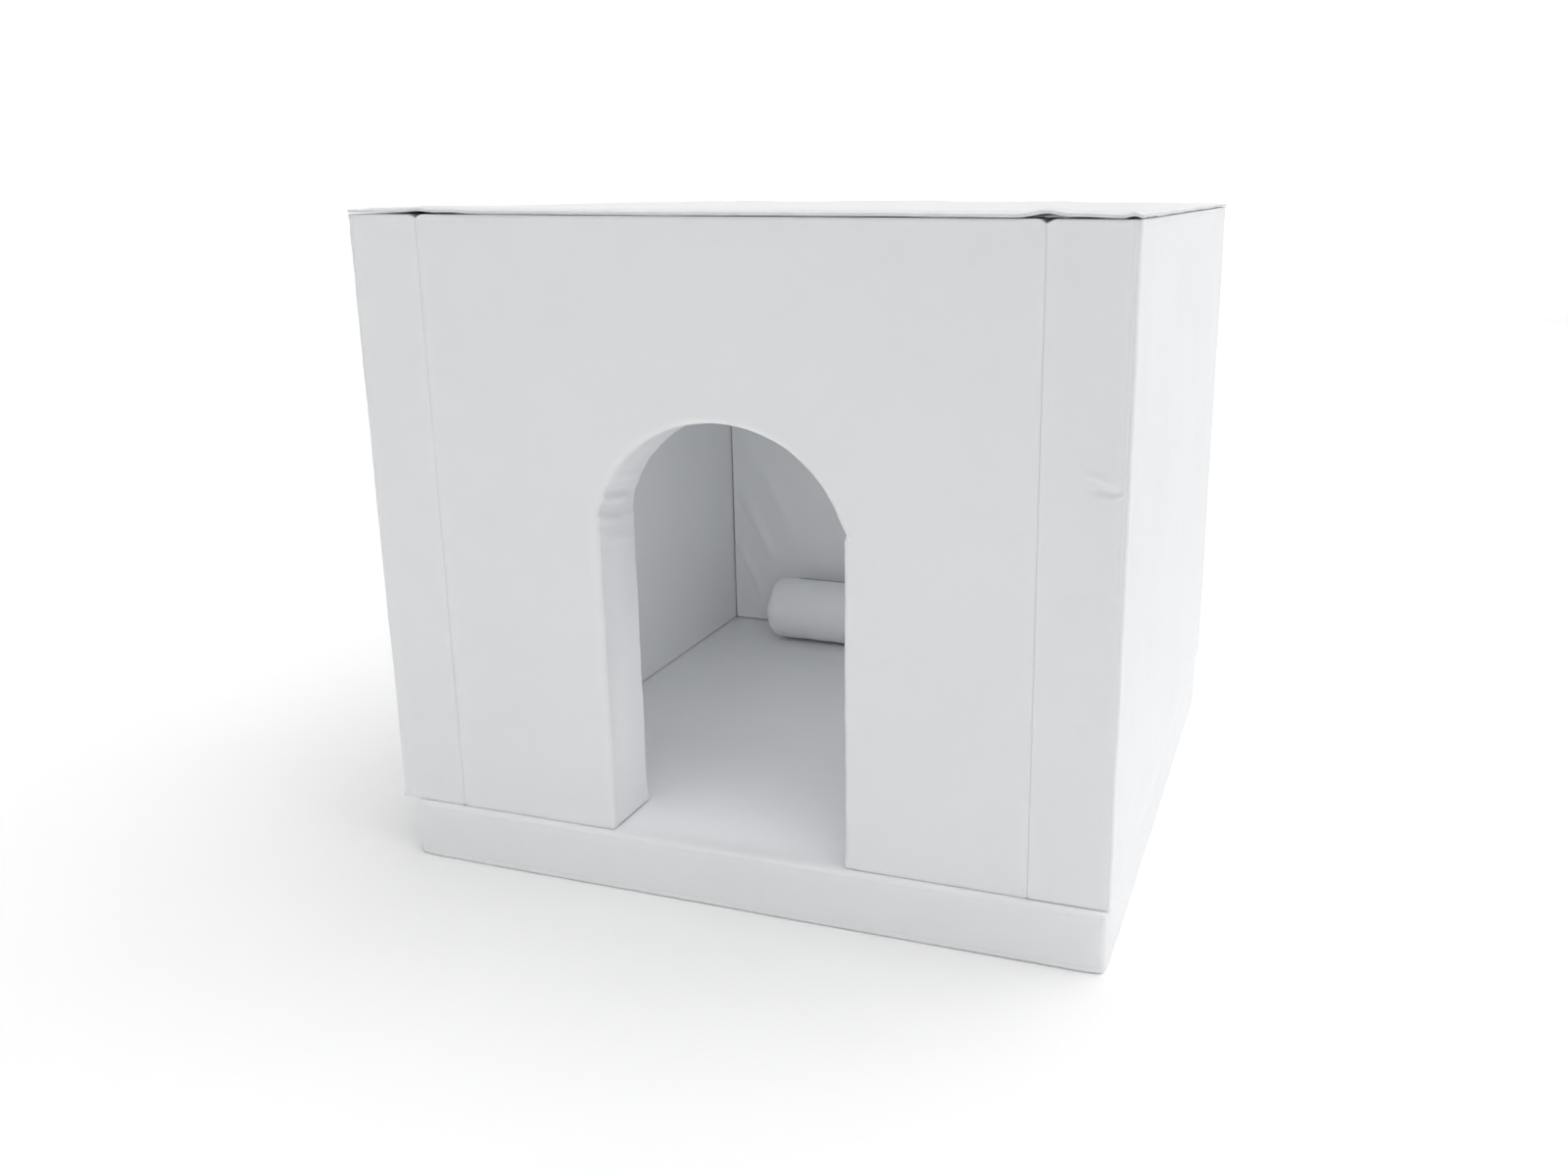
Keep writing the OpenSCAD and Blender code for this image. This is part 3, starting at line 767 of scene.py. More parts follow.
def frontWall(look):
    lo, hi = node3("front_wall_cover")
    half, foot, top, wide = look["doorHalf"], lo[2], hi[2], hi[0]
    springRun = look["springing"]
    spring = foot + springRun
    radius = (half ** 2 + look["rise"] ** 2) / (2 * look["rise"])
    centre = spring + look["rise"] - radius
    fine, step, edgeFine = look["fine"], look["step"], 0.0006

    # matching points on the doorway's outline and the wall's edge: up the left side, over the top and down
    springOut = centre + (spring - centre) * wide / half
    share = gridLines(0, 1, step / springRun, [(0, 0.024, fine / springRun), (1, 0.05, 0.0045)])
    parts = [(np.full_like(share, -half), foot + share * springRun,
              np.full_like(share, -wide), foot + share * (springOut - foot))]
    rise = gridLines(springOut, top, step, [(springOut, 0.05, 0.005), (top, 0.013, fine)])[1:]
    across = gridLines(-wide, wide, step, [(-wide, 0.004, edgeFine), (wide, 0.004, edgeFine)])[1:-1]
    for edgeX, edgeZ in ((np.full_like(rise, -wide), rise), (across, np.full_like(across, top))):
        turn = np.arctan2(edgeZ - centre, edgeX)
        parts.append((radius * np.cos(turn), centre + radius * np.sin(turn), edgeX, edgeZ))
    for doorX, doorZ, edgeX, edgeZ in parts[1::-1]:
        parts.append((-doorX[::-1], doorZ[::-1], -edgeX[::-1], edgeZ[::-1]))
    doorX, doorZ, edgeX, edgeZ = (np.concatenate(lists) for lists in zip(*parts))
    run = np.concatenate([[0], np.cumsum(np.hypot(np.diff(doorX), np.diff(doorZ)))])

    band = wide - half
    vs = gridLines(0, 1, step / band, [(0, 0.016 / band, fine / band), (1, 0.004 / band, edgeFine / band)])
    ws = gridLines(lo[1], hi[1], step, [(lo[1], 0.017, fine), (hi[1], 0.013, fine)])
    lattice, quads = boxShell(np.arange(len(run), dtype=float), vs, ws)
    station, v = lattice[:, 0].astype(int), lattice[:, 1]
    x = doorX[station] * (1 - v) + edgeX[station] * v
    z = doorZ[station] * (1 - v) + edgeZ[station] * v
    flat = np.stack([x, lattice[:, 2], z], 1)
    curve = onLine(run[station])
    sideRun = np.minimum(run[station], run[-1] - run[station])
    depth = flat[:, 1] - lo[1]

    # distances to the nearest faces: doorway or end, front or back, top or foot
    byArch, byJamb, toEnd = np.hypot(x, z - centre) - radius, np.abs(x) - half, wide - np.abs(x)
    inArch = (z > centre) & (byArch > byJamb)
    toDoor = np.where(inArch, byArch, byJamb)
    doorWay = np.stack([x, 0 * x, np.where(inArch, z - centre, 0)], 1)
    doorWay = doorWay / np.maximum(np.linalg.norm(doorWay, axis=1, keepdims=True), 1e-9)
    nearDoor = (toDoor < toEnd)[:, None]
    boxed, boxWays = boxGaps(flat, lo, hi)
    gaps = [np.clip(np.minimum(toDoor, toEnd), 0, None), boxed[1], boxed[2]]
    ways = [np.where(nearDoor, doorWay, onLine(-np.sign(x))), boxWays[1], boxWays[2]]
    soft = tighter(look, "seamRadius", hump(toEnd, look["edgeReach"]))
    soft += (look["doorRadius"] - look["outerRadius"]) * hump(toDoor, 0.03)
    footShare = hump(boxed[2], look["edgeReach"]) * fade(toEnd, 0, look["edgeReach"])
    soft -= (look["outerRadius"] - look["footRadius"]) * footShare
    points = roundOff(flat, gaps, ways, soft)
    quads = outward(points, quads)
    out = skinNormals(points, quads)

    lift = fabricWaves(flat, look)
    front, reveal = facing(flat, 1, lo[1]), np.clip(1 - toDoor / 0.01, 0, 1)
    # the doorway's lining: a seam behind its front edge, pleats where the arch starts
    ripple = twoNoises(curve, 0.012, 0.5, 0.03, look["seed"] + 1)
    off = depth - look["revealSeam"] - 0.0006 * softNoise(curve, 0.05, look["seed"] + 3)
    lift += reveal * look["revealPucker"] * ripple * hump(off, 0.012)
    lift -= reveal * look["revealDepth"] * hump(off, 0.0016)
    leftSide = fade(-x, 0, 0.05)
    atSpring = hump(sideRun - springRun - 0.012, look["pleatReach"]) * (0.35 + 0.65 * leftSide)
    slant = 2 * np.pi * (sideRun + 0.16 * depth) / look["pleatPitch"]
    pleats = np.sin(slant + 1.3 * softNoise(curve, 0.04, 5)) * fade(depth, 0.0, 0.02) * 0.55
    lift += reveal * look["pleatDepth"] * atSpring * pleats
    lining = np.stack([sideRun, depth], 1)
    lift += reveal * (0.25 + 0.75 * leftSide) * creases(lining, (springRun, 0), look["folds"])
    # the front: a tuck, a puckered rim round the arch, and seams inside the top edge and beside both ends
    tuck = creases(flat[:, (0, 2)], (half, spring), look["tuck"])
    lift += (front + 0.7 * reveal * hump(depth, 0.02)) * tuck
    lift += front * look["rimPucker"] * hump(toDoor - 0.004, 0.014) * ripple
    for side, seed in ((-1, 21), (1, 25)):
        spot = side * (wide - look["seamInset"])
        lift += front * 0.45 * sewn(look, flat, 0, spot, look["endSeam"], seed)
    lift += front * sewn(look, flat, 2, top - look["seamInset"], look["topSeam"], 29)
    lift = restOn(lift, onFace(toEnd) | onFace(boxed[2]), depth, look)
    points = points + out * lift[:, None]
    points[:, 2] -= notch(look["topNotch"], toEnd, top - z, depth)
    points[:, 2] += notch(look["footNotch"], toEnd, z - foot, depth)
    pinch = hump(sideRun - springRun, 0.007) * hump(toDoor, 0.009) * fade(x, 0, 0.1)
    points[:, 0] += look["pinch"] * pinch * np.sign(x)
    # the outline of the doorway isn't perfectly even
    sway = sum(high * softNoise(curve, size, look["seed"] + seed) for high, size, seed in look["sway"])
    points -= ways[0] * (sway * hump(toDoor, 0.03))[:, None] * nearDoor
    nodes = ("front_wall_cover", "front_wall_foam")
    makePadded("FrontWall", points, quads, "den", nodes, edgeFade(gaps))


# Base: a thick block the den stands on
baseLook = {
    **fabric,
    "waves": ((0.0008, (0.28, 0.28, 0.36), 0), *fabric["waves"][1:]),
    "outerRadius": 0.010,
    "rimRadius": 0.0058,
    "edgeSeam": 0.0008,
    "standInset": 0.014,     # open edge to where the walls press
    "footDip": 0.001,
    "cornerCrush": 0.0035,
    "seed": 120,
}


def base(look):
    lo, hi = node3("base_cover")

    def radiusAt(flat):
        return tighter(look, "rimRadius", hump(gapTo(flat, 2, lo, hi), look["edgeReach"]))

    def features(flat, points, out, lift):
        for axis, face in ((1, lo[1]), (1, hi[1]), (0, lo[0]), (0, hi[0])):
            for level, seed in ((hi[2] - look["seamInset"], 3), (lo[2] + look["seamInset"], 5)):
                seam = sewn(look, flat, 2, level, look["edgeSeam"], seed + axis)
                lift = lift + facing(flat, axis, face) * seam
        lift = flatUnderZip(lift, flat, 1, "base_zip_tape")
        # hold the top down to where the walls stand on it, and the foot flat
        bySide, byEnd = gapTo(flat, 0, lo, hi), gapTo(flat, 1, lo, hi)
        fromStand = np.minimum(bySide, byEnd) - look["standInset"]
        lift = restOn(lift, onFace(hi[2] - flat[:, 2]), fromStand, look)
        lift = np.where(onFace(flat[:, 2] - lo[2]), np.clip(lift, -look["footDip"], 0), lift)
        points = points + out * lift[:, None]
        pull = look["cornerCrush"] * hump(bySide + byEnd, 0.02)
        points[:, :2] += pull[:, None] * np.sign((lo + hi)[:2] / 2 - flat[:, :2])
        return points

    boxPanel("Base", ("base_cover", "base_foam"), look, features, radiusAt)


# Roof: a thin pad with a flat hemmed rim that waves between the places where it is pressed down
roofLook = {
    **fabric,
    "outerRadius": 0.0026,
    "fine": 0.0013,
    "step": 0.0078,
    "seed": 150,
    "mostLift": 0.0012,
    "hem": 0.016,            # width of the flat rim
    "rim": 0.0058,           # thickness of that rim
    "hemSeam": 0.0009,
    "hemPucker": 0.00035,
    "groove": 0.0020,        # between the two layers of the hem
    # loose rim, always upwards: height, least share, size, share and size of smaller waves, reach, seed
    "rimWaves": {
        "front": (0.0012, 0.35, 0.17, 0.5, 0.06, 0.10, 2),
        "right": (0.0012, 0.30, 0.15, 0.7, 0.045, 0.09, 4),
        "left": (0.0012, 0.30, 0.16, 0.5, 0.05, 0.09, 6),
        "back": (0.0030, 0.30, 0.15, 0.6, 0.05, 0.12, 8),
    },
    # lifts over the two joints of the front: height, joint, place beside it, width
    "jointWaves": (
        (0.0050, 1, -0.002, 0.022),
        (0.0014, 1, 0.055, 0.032),
        (0.0034, 0, 0.004, 0.024),
        (0.0018, 0, 0.065, 0.030),
    ),
    "jointReach": 0.13,
    # tucks at the front right corner: height, place from the right, width, place from the front, width
    "tucks": (
        (0.0030, 0.013, 0.008, 0.0, 0.03),
        (0.0016, 0.0, 0.03, 0.05, 0.012),
        (0.0014, 0.0, 0.03, 0.12, 0.016),
    ),
    "slack": 0.0011,
    # the edges aren't dead straight: height, size, seed
    "edgeSway": {
        "front": (0.0014, 0.11, 12),
        "right": (0.0018, 0.09, 13),
        "left": (0.0018, 0.09, 14),
        "back": (0.0014, 0.12, 15),
    },
}


def roof(look):
    lo, hi = node3("roof_cover")
    thick = hi[2] - lo[2]
    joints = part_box("left_wall_cover")[1].x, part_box("right_wall_cover")[0].x

    def features(flat, points, out, lift):
        x, y, seed = flat[:, 0], flat[:, 1], look["seed"]
        level, middle = flat * (1, 1, 0), (lo + hi) / 2
        up = (flat[:, 2] - lo[2]) / thick
        bySide, byEnd = gapTo(flat, 0, lo, hi), gapTo(flat, 1, lo, hi)
        byEdge = np.minimum(bySide, byEnd)
        inFront, fromRight = y - lo[1], hi[0] - x
        lift = np.where(onFace(flat[:, 2] - lo[2]), 0, lift)
        points = points + out * np.clip(lift, -look["mostLift"], look["mostLift"])[:, None]
        # the rim is thinner, behind a sewn line
        thin = 1 - fade(byEdge, look["hem"] - 0.004, look["hem"] + 0.012)
        points[:, 2] -= thin * (thick - look["rim"]) * up
        ripple = softNoise(level, 0.013, seed + 1)
        points[:, 2] -= look["hemSeam"] * hump(byEdge - look["hem"], 0.0016) * up * (1 + 0.4 * ripple)
        points[:, 2] += look["hemPucker"] * ripple * hump(byEdge - look["hem"], 0.009) * up
        groove = look["groove"] * hump(byEdge, 0.0006) * hump(up - 0.5, 0.20)
        for axis, gap in ((0, bySide), (1, byEnd)):
            points[:, axis] += np.where(onFace(gap), groove, 0) * np.sign(middle[axis] - flat[:, axis])
        wave = np.zeros(len(flat))
        sides = (("front", 1, inFront), ("back", 1, hi[1] - y),
                 ("left", 0, x - lo[0]), ("right", 0, fromRight))
        for side, axis, gap in sides:
            along = onLine(flat[:, 1 - axis])
            high, least, size, share, smallSize, reach, more = look["rimWaves"][side]
            slow = twoNoises(along, size, share, smallSize, seed + more)
            wave += high * np.clip(least + slow, 0, None) * hump(gap, reach)
            high, size, more = look["edgeSway"][side]
            points[:, axis] += high * softNoise(along, size, seed + more) * hump(gap, 0.05)
        for high, joint, beside, wide in look["jointWaves"]:
            wave += high * hump(x - joints[joint] - beside, wide) * hump(inFront, look["jointReach"])
        wave *= 1 - 0.9 * hump(byEnd, 0.09) * hump(bySide, 0.06)
        for high, sideways, wide, behind, deep in look["tucks"]:
            wave += high * hump(fromRight - sideways, wide) * hump(inFront - behind, deep)
        points[:, 2] += wave
        # slack in the middle, kept above the foam
        slack = np.clip(twoNoises(level, 0.22, 0.5, 0.08, seed + 10) + 0.4, 0, None)
        points[:, 2] += look["slack"] * slack * up * fade(byEdge, 0.02, 0.12)
        return points

    inset = look["hem"]
    marks = {axis: [(lo[axis] + inset, 0.004, 0.0013), (hi[axis] - inset, 0.004, 0.0013)] for axis in (0, 1)}
    marks[2] = [(lo[2] + thick / 2, 0.004, 0.0006)]
    boxPanel("Roof", ("roof_cover", "roof_foam"), look, features, marks=marks, body="roof")


# Bolster: a round cushion, blown up as cloth round its foam and then seamed
bolsterLook = {
    "shrink": 0.0045,        # starting shape inside the finished size
    "endRadius": 0.020,
    "voxel": 0.006,
    "pressure": 4.0,
    "frames": 20,
    "swellCap": 0.006,
    "seamInset": 0.009,      # seam round each end, from the end face
    "seamDepth": 0.0016,
    "pucker": 0.0010,
    "endWaves": 0.0014,
    "slow": 0.0010,
    "small": 0.0005,
    "mostGirth": 0.0004,     # how far it may stand out from its foam's size, round and at the ends
    "mostLength": 0.003,
    "seed": 200,
}


def turnedBlock(centre, length, radius, endRadius, sides=72, steps=36):
    # a cylinder along X with rounded rims, as rings of points closed by one point at each end
    corner = np.linspace(0, np.pi / 2, 9)
    half, inner = length / 2, np.linspace(radius - endRadius, 0, 8)[1:-1]
    rim = half - endRadius * (1 - np.sin(corner))
    xs = np.concatenate([-rim[::-1], np.linspace(endRadius - half, half - endRadius, steps)[1:-1], rim])
    rimRadius = radius - endRadius + endRadius * np.cos(corner)
    rs = np.concatenate([rimRadius[::-1], np.full(steps - 2, radius), rimRadius])
    xs = np.concatenate([np.full(len(inner), xs[0]), xs, np.full(len(inner), xs[-1])])
    rs = np.concatenate([inner[::-1], rs, inner])
    angle = np.linspace(0, 2 * np.pi, sides, endpoint=False)
    around = np.outer(rs, np.cos(angle)).ravel(), np.outer(rs, np.sin(angle)).ravel()
    rings = np.stack([np.repeat(xs, sides), *around], 1)
    ends = np.array([[xs[0], 0, 0], [xs[-1], 0, 0]])
    first, last, top = len(rings), len(rings) + 1, (len(xs) - 1) * sides
    faces = []
    for start in range(0, top, sides):
        for side in range(sides):
            after = (side + 1) % sides
            faces.append((start + side, start + after, start + sides + after, start + sides + side))
    for side in range(sides):
        after = (side + 1) % sides
        faces.append((first, after, side))
        faces.append((last, top + side, top + after))
    return np.concatenate([rings, ends]) + np.array(centre), faces


def evaluated(obj):
    return bpy.data.meshes.new_from_object(obj.evaluated_get(bpy.context.evaluated_depsgraph_get()))


def vertexValues(mesh, what):
    values = np.zeros(len(mesh.vertices) * 3)
    mesh.vertices.foreach_get(what, values)
    return values.reshape(-1, 3)


def inflate(obj, look):
    # voxel remesh, then cloth under pressure from inside; no point may move further than the cap
    remesh = obj.modifiers.new("even", "REMESH")
    remesh.mode = "VOXEL"
    remesh.voxel_size = look["voxel"]
    evened = evaluated(obj)
    obj.modifiers.clear()
    obj.data = evened
    start = vertexValues(evened, "co")
    cloth = obj.modifiers.new("swell", "CLOTH")
    cloth.settings.use_pressure = True
    cloth.settings.uniform_pressure_force = look["pressure"]
    cloth.settings.effector_weights.gravity = 0
    cloth.settings.tension_stiffness = 12
    cloth.settings.bending_stiffness = 0.5
    cloth.point_cache.frame_start = 1
    cloth.point_cache.frame_end = look["frames"]
    for moment in range(1, look["frames"] + 1):
        scene.frame_set(moment)
    moved = vertexValues(obj.evaluated_get(bpy.context.evaluated_depsgraph_get()).data, "co") - start
    scene.frame_set(1)
    obj.modifiers.clear()
    far = np.linalg.norm(moved, axis=1, keepdims=True)
    moved *= np.minimum(1, look["swellCap"] / np.maximum(far, 1e-9))
    obj.data.vertices.foreach_set("co", (start + moved).ravel())
    obj.data.update()


def bolster(look):
    lo, hi = node3("bolster_cover")
    middle = (lo + hi) / 2
    length, radius, seed = hi[0] - lo[0], (hi[2] - lo[2]) / 2, look["seed"]
    shrink = look["shrink"]
    points, faces = turnedBlock(middle, length - 2 * shrink, radius - shrink, look["endRadius"])
    mesh = bpy.data.meshes.new("bolster")
    mesh.from_pydata(points.tolist(), [], faces)
    obj = bpy.data.objects.new("blank", mesh)
    scene.collection.objects.link(obj)
    inflate(obj, look)
    soften = obj.modifiers.new("soften", "SUBSURF")
    soften.levels = soften.render_levels = 1
    mesh = evaluated(obj)
    bpy.data.objects.remove(obj)
    points, normals = vertexValues(mesh, "co"), vertexValues(mesh, "normal")
    # seams and gathers round both ends, and hills in the cover
    off = points - middle
    ring, angle = np.hypot(off[:, 1], off[:, 2]), np.arctan2(off[:, 2], off[:, 1])
    toEnd = length / 2 - np.abs(off[:, 0])
    turn = np.stack([np.cos(angle), np.sin(angle), np.sign(off[:, 0])], 1)
    ripple = twoNoises(turn, 0.16, 0.5, 0.4, seed)
    seam = toEnd - look["seamInset"]
    lift = -look["seamDepth"] * hump(seam, 0.0035) * hump(ring - radius, 0.012)
    lift += look["pucker"] * ripple * hump(seam, 0.022) * hump(ring - radius, 0.03)
    lift += look["endWaves"] * hump(toEnd, 0.004) * softNoise(turn * ring[:, None], 0.02, seed + 2)
    lift += look["slow"] * softNoise(points, (0.12, 0.05, 0.05), seed + 3)
    lift += look["small"] * softNoise(points, 0.03, seed + 4)
    # it flattens where it lies, and stays inside its own foam's reach
    shift = points + normals * lift[:, None] - middle
    reach = np.hypot(shift[:, 1], shift[:, 2])
    most = length / 2 + look["mostLength"]
    points = middle + shift * np.minimum(1, (radius + look["mostGirth"]) / np.maximum(reach, 1e-9))[:, None]
    points[:, 0] = middle[0] + np.clip(shift[:, 0], -most, most)
    points[:, 2] = np.maximum(points[:, 2], lo[2] + 0.0003 * (1 + softNoise(points, 0.05, 9)))
    faces = [tuple(p.vertices) for p in mesh.polygons]
    nodes = ("bolster_cover", "bolster_foam")
    makePadded("Bolster", points, faces, "bolster", nodes, hump(seam, 0.01))


# Small repeated pieces: one Geometry Nodes tree sets a shape along a path, another on a grid
def buildTree(name, inputs, nodes, wires):
    # inputs are (name, kind, start value), nodes give each label its kind and settings
    group = bpy.data.node_groups.new(name, "GeometryNodeTree")
    sockets = group.interface
    sockets.new_socket(name="Geometry", in_out="OUTPUT", socket_type="NodeSocketGeometry")
    sockets.new_socket(name="Geometry", in_out="INPUT", socket_type="NodeSocketGeometry")
    ids = {}
    for label, kind, value in inputs:
        socket = sockets.new_socket(name=label, in_out="INPUT", socket_type="NodeSocket" + kind)
        if value is not None:
            socket.default_value = value
        ids[label] = socket.identifier
    made = {label: addNode(group, kind, **settings) for label, (kind, settings) in nodes.items()}
    for wire in wires:
        (source, out), (target, into) = (end.split(".") for end in wire.split(" to "))
        group.links.new(made[source].outputs[out], made[target].inputs[into])
    return group, ids


# Both trees end the same way: an even set of shapes, made real, with one material
endNodes = {
    "start": ("NodeGroupInput", {}),
    "end": ("NodeGroupOutput", {}),
    "shape": ("GeometryNodeObjectInfo", {}),
    "place": ("GeometryNodeInstanceOnPoints", {}),
    "real": ("GeometryNodeRealizeInstances", {}),
    "coat": ("GeometryNodeSetMaterial", {}),
}
endWires = (
    "start.Shape to shape.Object",
    "shape.Geometry to place.Instance",
    "place.Instances to real.Geometry",
    "real.Geometry to coat.Geometry",
    "start.Material to coat.Material",
    "coat.Geometry to end.Geometry",
)

# along every path, a pitch apart, turned to follow it, with a little unevenness
rowTree = buildTree(
    "row_along_path",
    (("Shape", "Object", None), ("Pitch", "Float", 0.004), ("Unevenness", "Float", 0.0), ("Seed", "Int", 0),
     ("Material", "Material", None)),
    {
        **endNodes,
        "path": ("GeometryNodeMeshToCurve", {}),
        "even": ("GeometryNodeResampleCurve", {"mode": "LENGTH"}),
        "spots": ("GeometryNodeCurveToPoints", {"mode": "EVALUATED"}),
        "turn": ("FunctionNodeAlignRotationToVector", {"axis": "X", "pivot_axis": "Z"}),
        "low": ("ShaderNodeVectorMath", {"operation": "SCALE", "Vector": (-0.4, -0.4, -1)}),
        "high": ("ShaderNodeVectorMath", {"operation": "SCALE", "Vector": (0.4, 0.4, 1)}),
        "tilt": ("FunctionNodeRandomValue", {"data_type": "FLOAT_VECTOR"}),
        "toTurn": ("FunctionNodeEulerToRotation", {}),
        "bent": ("FunctionNodeRotateRotation", {"rotation_space": "LOCAL"}),
    },
    endWires + (
        "start.Geometry to path.Mesh",
        "path.Curve to even.Curve",
        "start.Pitch to even.Length",
        "even.Curve to spots.Curve",
        "spots.Points to place.Points",
        "spots.Tangent to turn.Vector",
        "start.Unevenness to low.Scale",
        "start.Unevenness to high.Scale",
        "low.Vector to tilt.Min",
        "high.Vector to tilt.Max",
        "start.Seed to tilt.Seed",
        "tilt.Value to toTurn.Euler",
        "turn.Rotation to bent.Rotation",
        "toTurn.Rotation to bent.Rotate By",
        "bent.Rotation to place.Rotation",
    ),
)

# at every point of a flat grid, each turned by its own angle
gridTree = buildTree(
    "dots_on_grid",
    (("Shape", "Object", None), ("Width", "Float", 1.0), ("Depth", "Float", 1.0), ("Columns", "Int", 10),
     ("Rows", "Int", 10), ("Seed", "Int", 0), ("Material", "Material", None)),
    {
        **endNodes,
        "grid": ("GeometryNodeMeshGrid", {}),
        "turn": ("FunctionNodeRandomValue", {"data_type": "FLOAT_VECTOR", "Max": (0, 0, 6.28)}),
    },
    endWires + (
        "start.Width to grid.Size X",
        "start.Depth to grid.Size Y",
        "start.Columns to grid.Vertices X",
        "start.Rows to grid.Vertices Y",
        "grid.Mesh to place.Points",
        "start.Seed to turn.Seed",
        "turn.Value to place.Rotation",
    ),
)


def grown(base, tree, **values):
    # runs a tree on a mesh and gives the result back as points and faces
    group, ids = tree
    carrier = bpy.data.objects.new("carrier", base)
    scene.collection.objects.link(carrier)
    modifier = carrier.modifiers.new("grow", "NODES")
    modifier.node_group = group
    for name, value in values.items():
        modifier[ids[name]] = value
    mesh = evaluated(carrier)
    carrier.modifiers.clear()
    bpy.data.objects.remove(carrier)
    return vertexValues(mesh, "co"), [tuple(p.vertices) for p in mesh.polygons]


def alongPaths(paths, shape, pitch, unevenness, seed, material):
    # each path is a straight line from one point to another
    mesh = bpy.data.meshes.new("paths")
    edges = [(2 * n, 2 * n + 1) for n in range(len(paths))]
    mesh.from_pydata([point for path in paths for point in path], edges, [])
    return grown(mesh, rowTree, Shape=shape, Pitch=pitch, Unevenness=unevenness, Seed=seed,
                 Material=material)


def shapeObject(name, build):
    mesh = bpy.data.meshes.new(name)
    edit = bmesh.new()
    build(edit)
    bmesh.ops.recalc_face_normals(edit, faces=edit.faces)
    edit.to_mesh(mesh)
    edit.free()
    return bpy.data.objects.new(name, mesh)


stitchSize = {"length": 0.0034, "width": 0.0007, "height": 0.0005}
toothSize = {"reach": 0.0034, "width": 0.0011, "height": 0.0020, "head": 0.0016, "bevel": 0.00028}
dotSize = {"radius": 0.0032, "height": 0.0006, "face": 0.72}


def buildStitch(edit):
    # a plump thread stitch, dipping at both ends
    bmesh.ops.create_uvsphere(edit, u_segments=8, v_segments=5, radius=0.5)
    for vert in edit.verts:
        x, y, z = vert.co.z, vert.co.x, vert.co.y
        vert.co = (x * stitchSize["length"], y * stitchSize["width"] * 2 * (1 - 0.5 * abs(x)),
                   z * stitchSize["height"] * 2 - stitchSize["height"] * 1.2 * x * x)


def buildTooth(edit):
    # one turn of the coil, seen from above: a bar across the tape with a fuller inner end
    bmesh.ops.create_cube(edit, size=1)
    crossEdges = [e for e in edit.edges if abs(e.verts[0].co.y - e.verts[1].co.y) > 0.5]
    bmesh.ops.subdivide_edges(edit, edges=crossEdges, cuts=2, use_grid_fill=True)
    for vert in edit.verts:
        along = vert.co.y + 0.5                     # 0 at the middle of the zip, 1 at its outer end
        wide = toothSize["head"] if along < 0.4 else toothSize["width"]
        tall = toothSize["height"] * (0.80 if along > 0.9 else 1.0)
        vert.co = (vert.co.x * wide, (along - 0.16) * toothSize["reach"], (vert.co.z + 0.5) * tall)
    sharp = [e for e in edit.edges if e.calc_face_angle(0) > 0.8]
    bmesh.ops.bevel(edit, geom=sharp, offset=toothSize["bevel"], segments=1, affect="EDGES")


def buildDot(edit):
    # a low round grip dot, its face down
    bmesh.ops.create_circle(edit, cap_ends=False, segments=10, radius=dotSize["radius"])
    low = bmesh.ops.extrude_edge_only(edit, edges=edit.edges[:])
    verts = [v for v in low["geom"] if isinstance(v, bmesh.types.BMVert)]
    for vert in verts:
        vert.co.x *= dotSize["face"]
        vert.co.y *= dotSize["face"]
        vert.co.z -= dotSize["height"]
    bmesh.ops.contextual_create(edit, geom=verts)
    bmesh.ops.contextual_create(edit, geom=[e for e in edit.edges if e.is_boundary])


stitch = shapeObject("stitch", buildStitch)
tooth = shapeObject("tooth", buildTooth)
gripDot = shapeObject("grip_dot", buildDot)


def joined(parts):
    points, faces, start = [], [], 0
    for somePoints, someFaces in parts:
        points.append(np.asarray(somePoints, dtype=float))
        faces += [tuple(int(v) + start for v in face) for face in someFaces]
        start += len(somePoints)
    return np.concatenate(points), faces


def placed(points, matrix):
    turned = np.array(matrix.to_3x3())
    return points @ turned.T + np.array(matrix.translation)


# Zips, each built along X on a flat face and then set in its place
zipLook = {
    "tapeWidth": 0.026,
    "tapeThick": 0.0006,
    "teethPitch": 0.0021,
    "coreWidth": 0.0052,
    "coreHeight": 0.0011,
    "hemInner": 0.0068,      # folded vinyl over each side of the tape, from the middle of the zip
    "hemOuter": 0.0175,
    "hemThick": 0.0011,
    "hemPast": 0.012,        # how far the folds run past the tape's ends
    "hemPucker": 0.00022,
    "lipWidth": 0.0006,
    "rampWidth": 0.003,
    "stitchInset": 0.0022,   # stitches to the fold's inner edge
    "stitchPast": 0.008,
    "stitchDip": 0.00035,
    "stitchPitch": 0.0044,
    "stopLength": 0.004,
    "stopHalf": 0.0038,
    "stopHeight": 0.0024,
    "offFace": 0.00005,      # gap that keeps cloth off the face under it
}


def flatBand(xs, ys, bottom, top):
    # a thin closed band between two heights, given as functions of x and y
    flat, quads = boxShell(xs, ys, np.array([0.0, 1.0]))
    x, y, up = flat.T
    points = np.stack([x, y, bottom(x, y) * (1 - up) + top(x, y) * up], 1)
    return points, outward(points, quads)


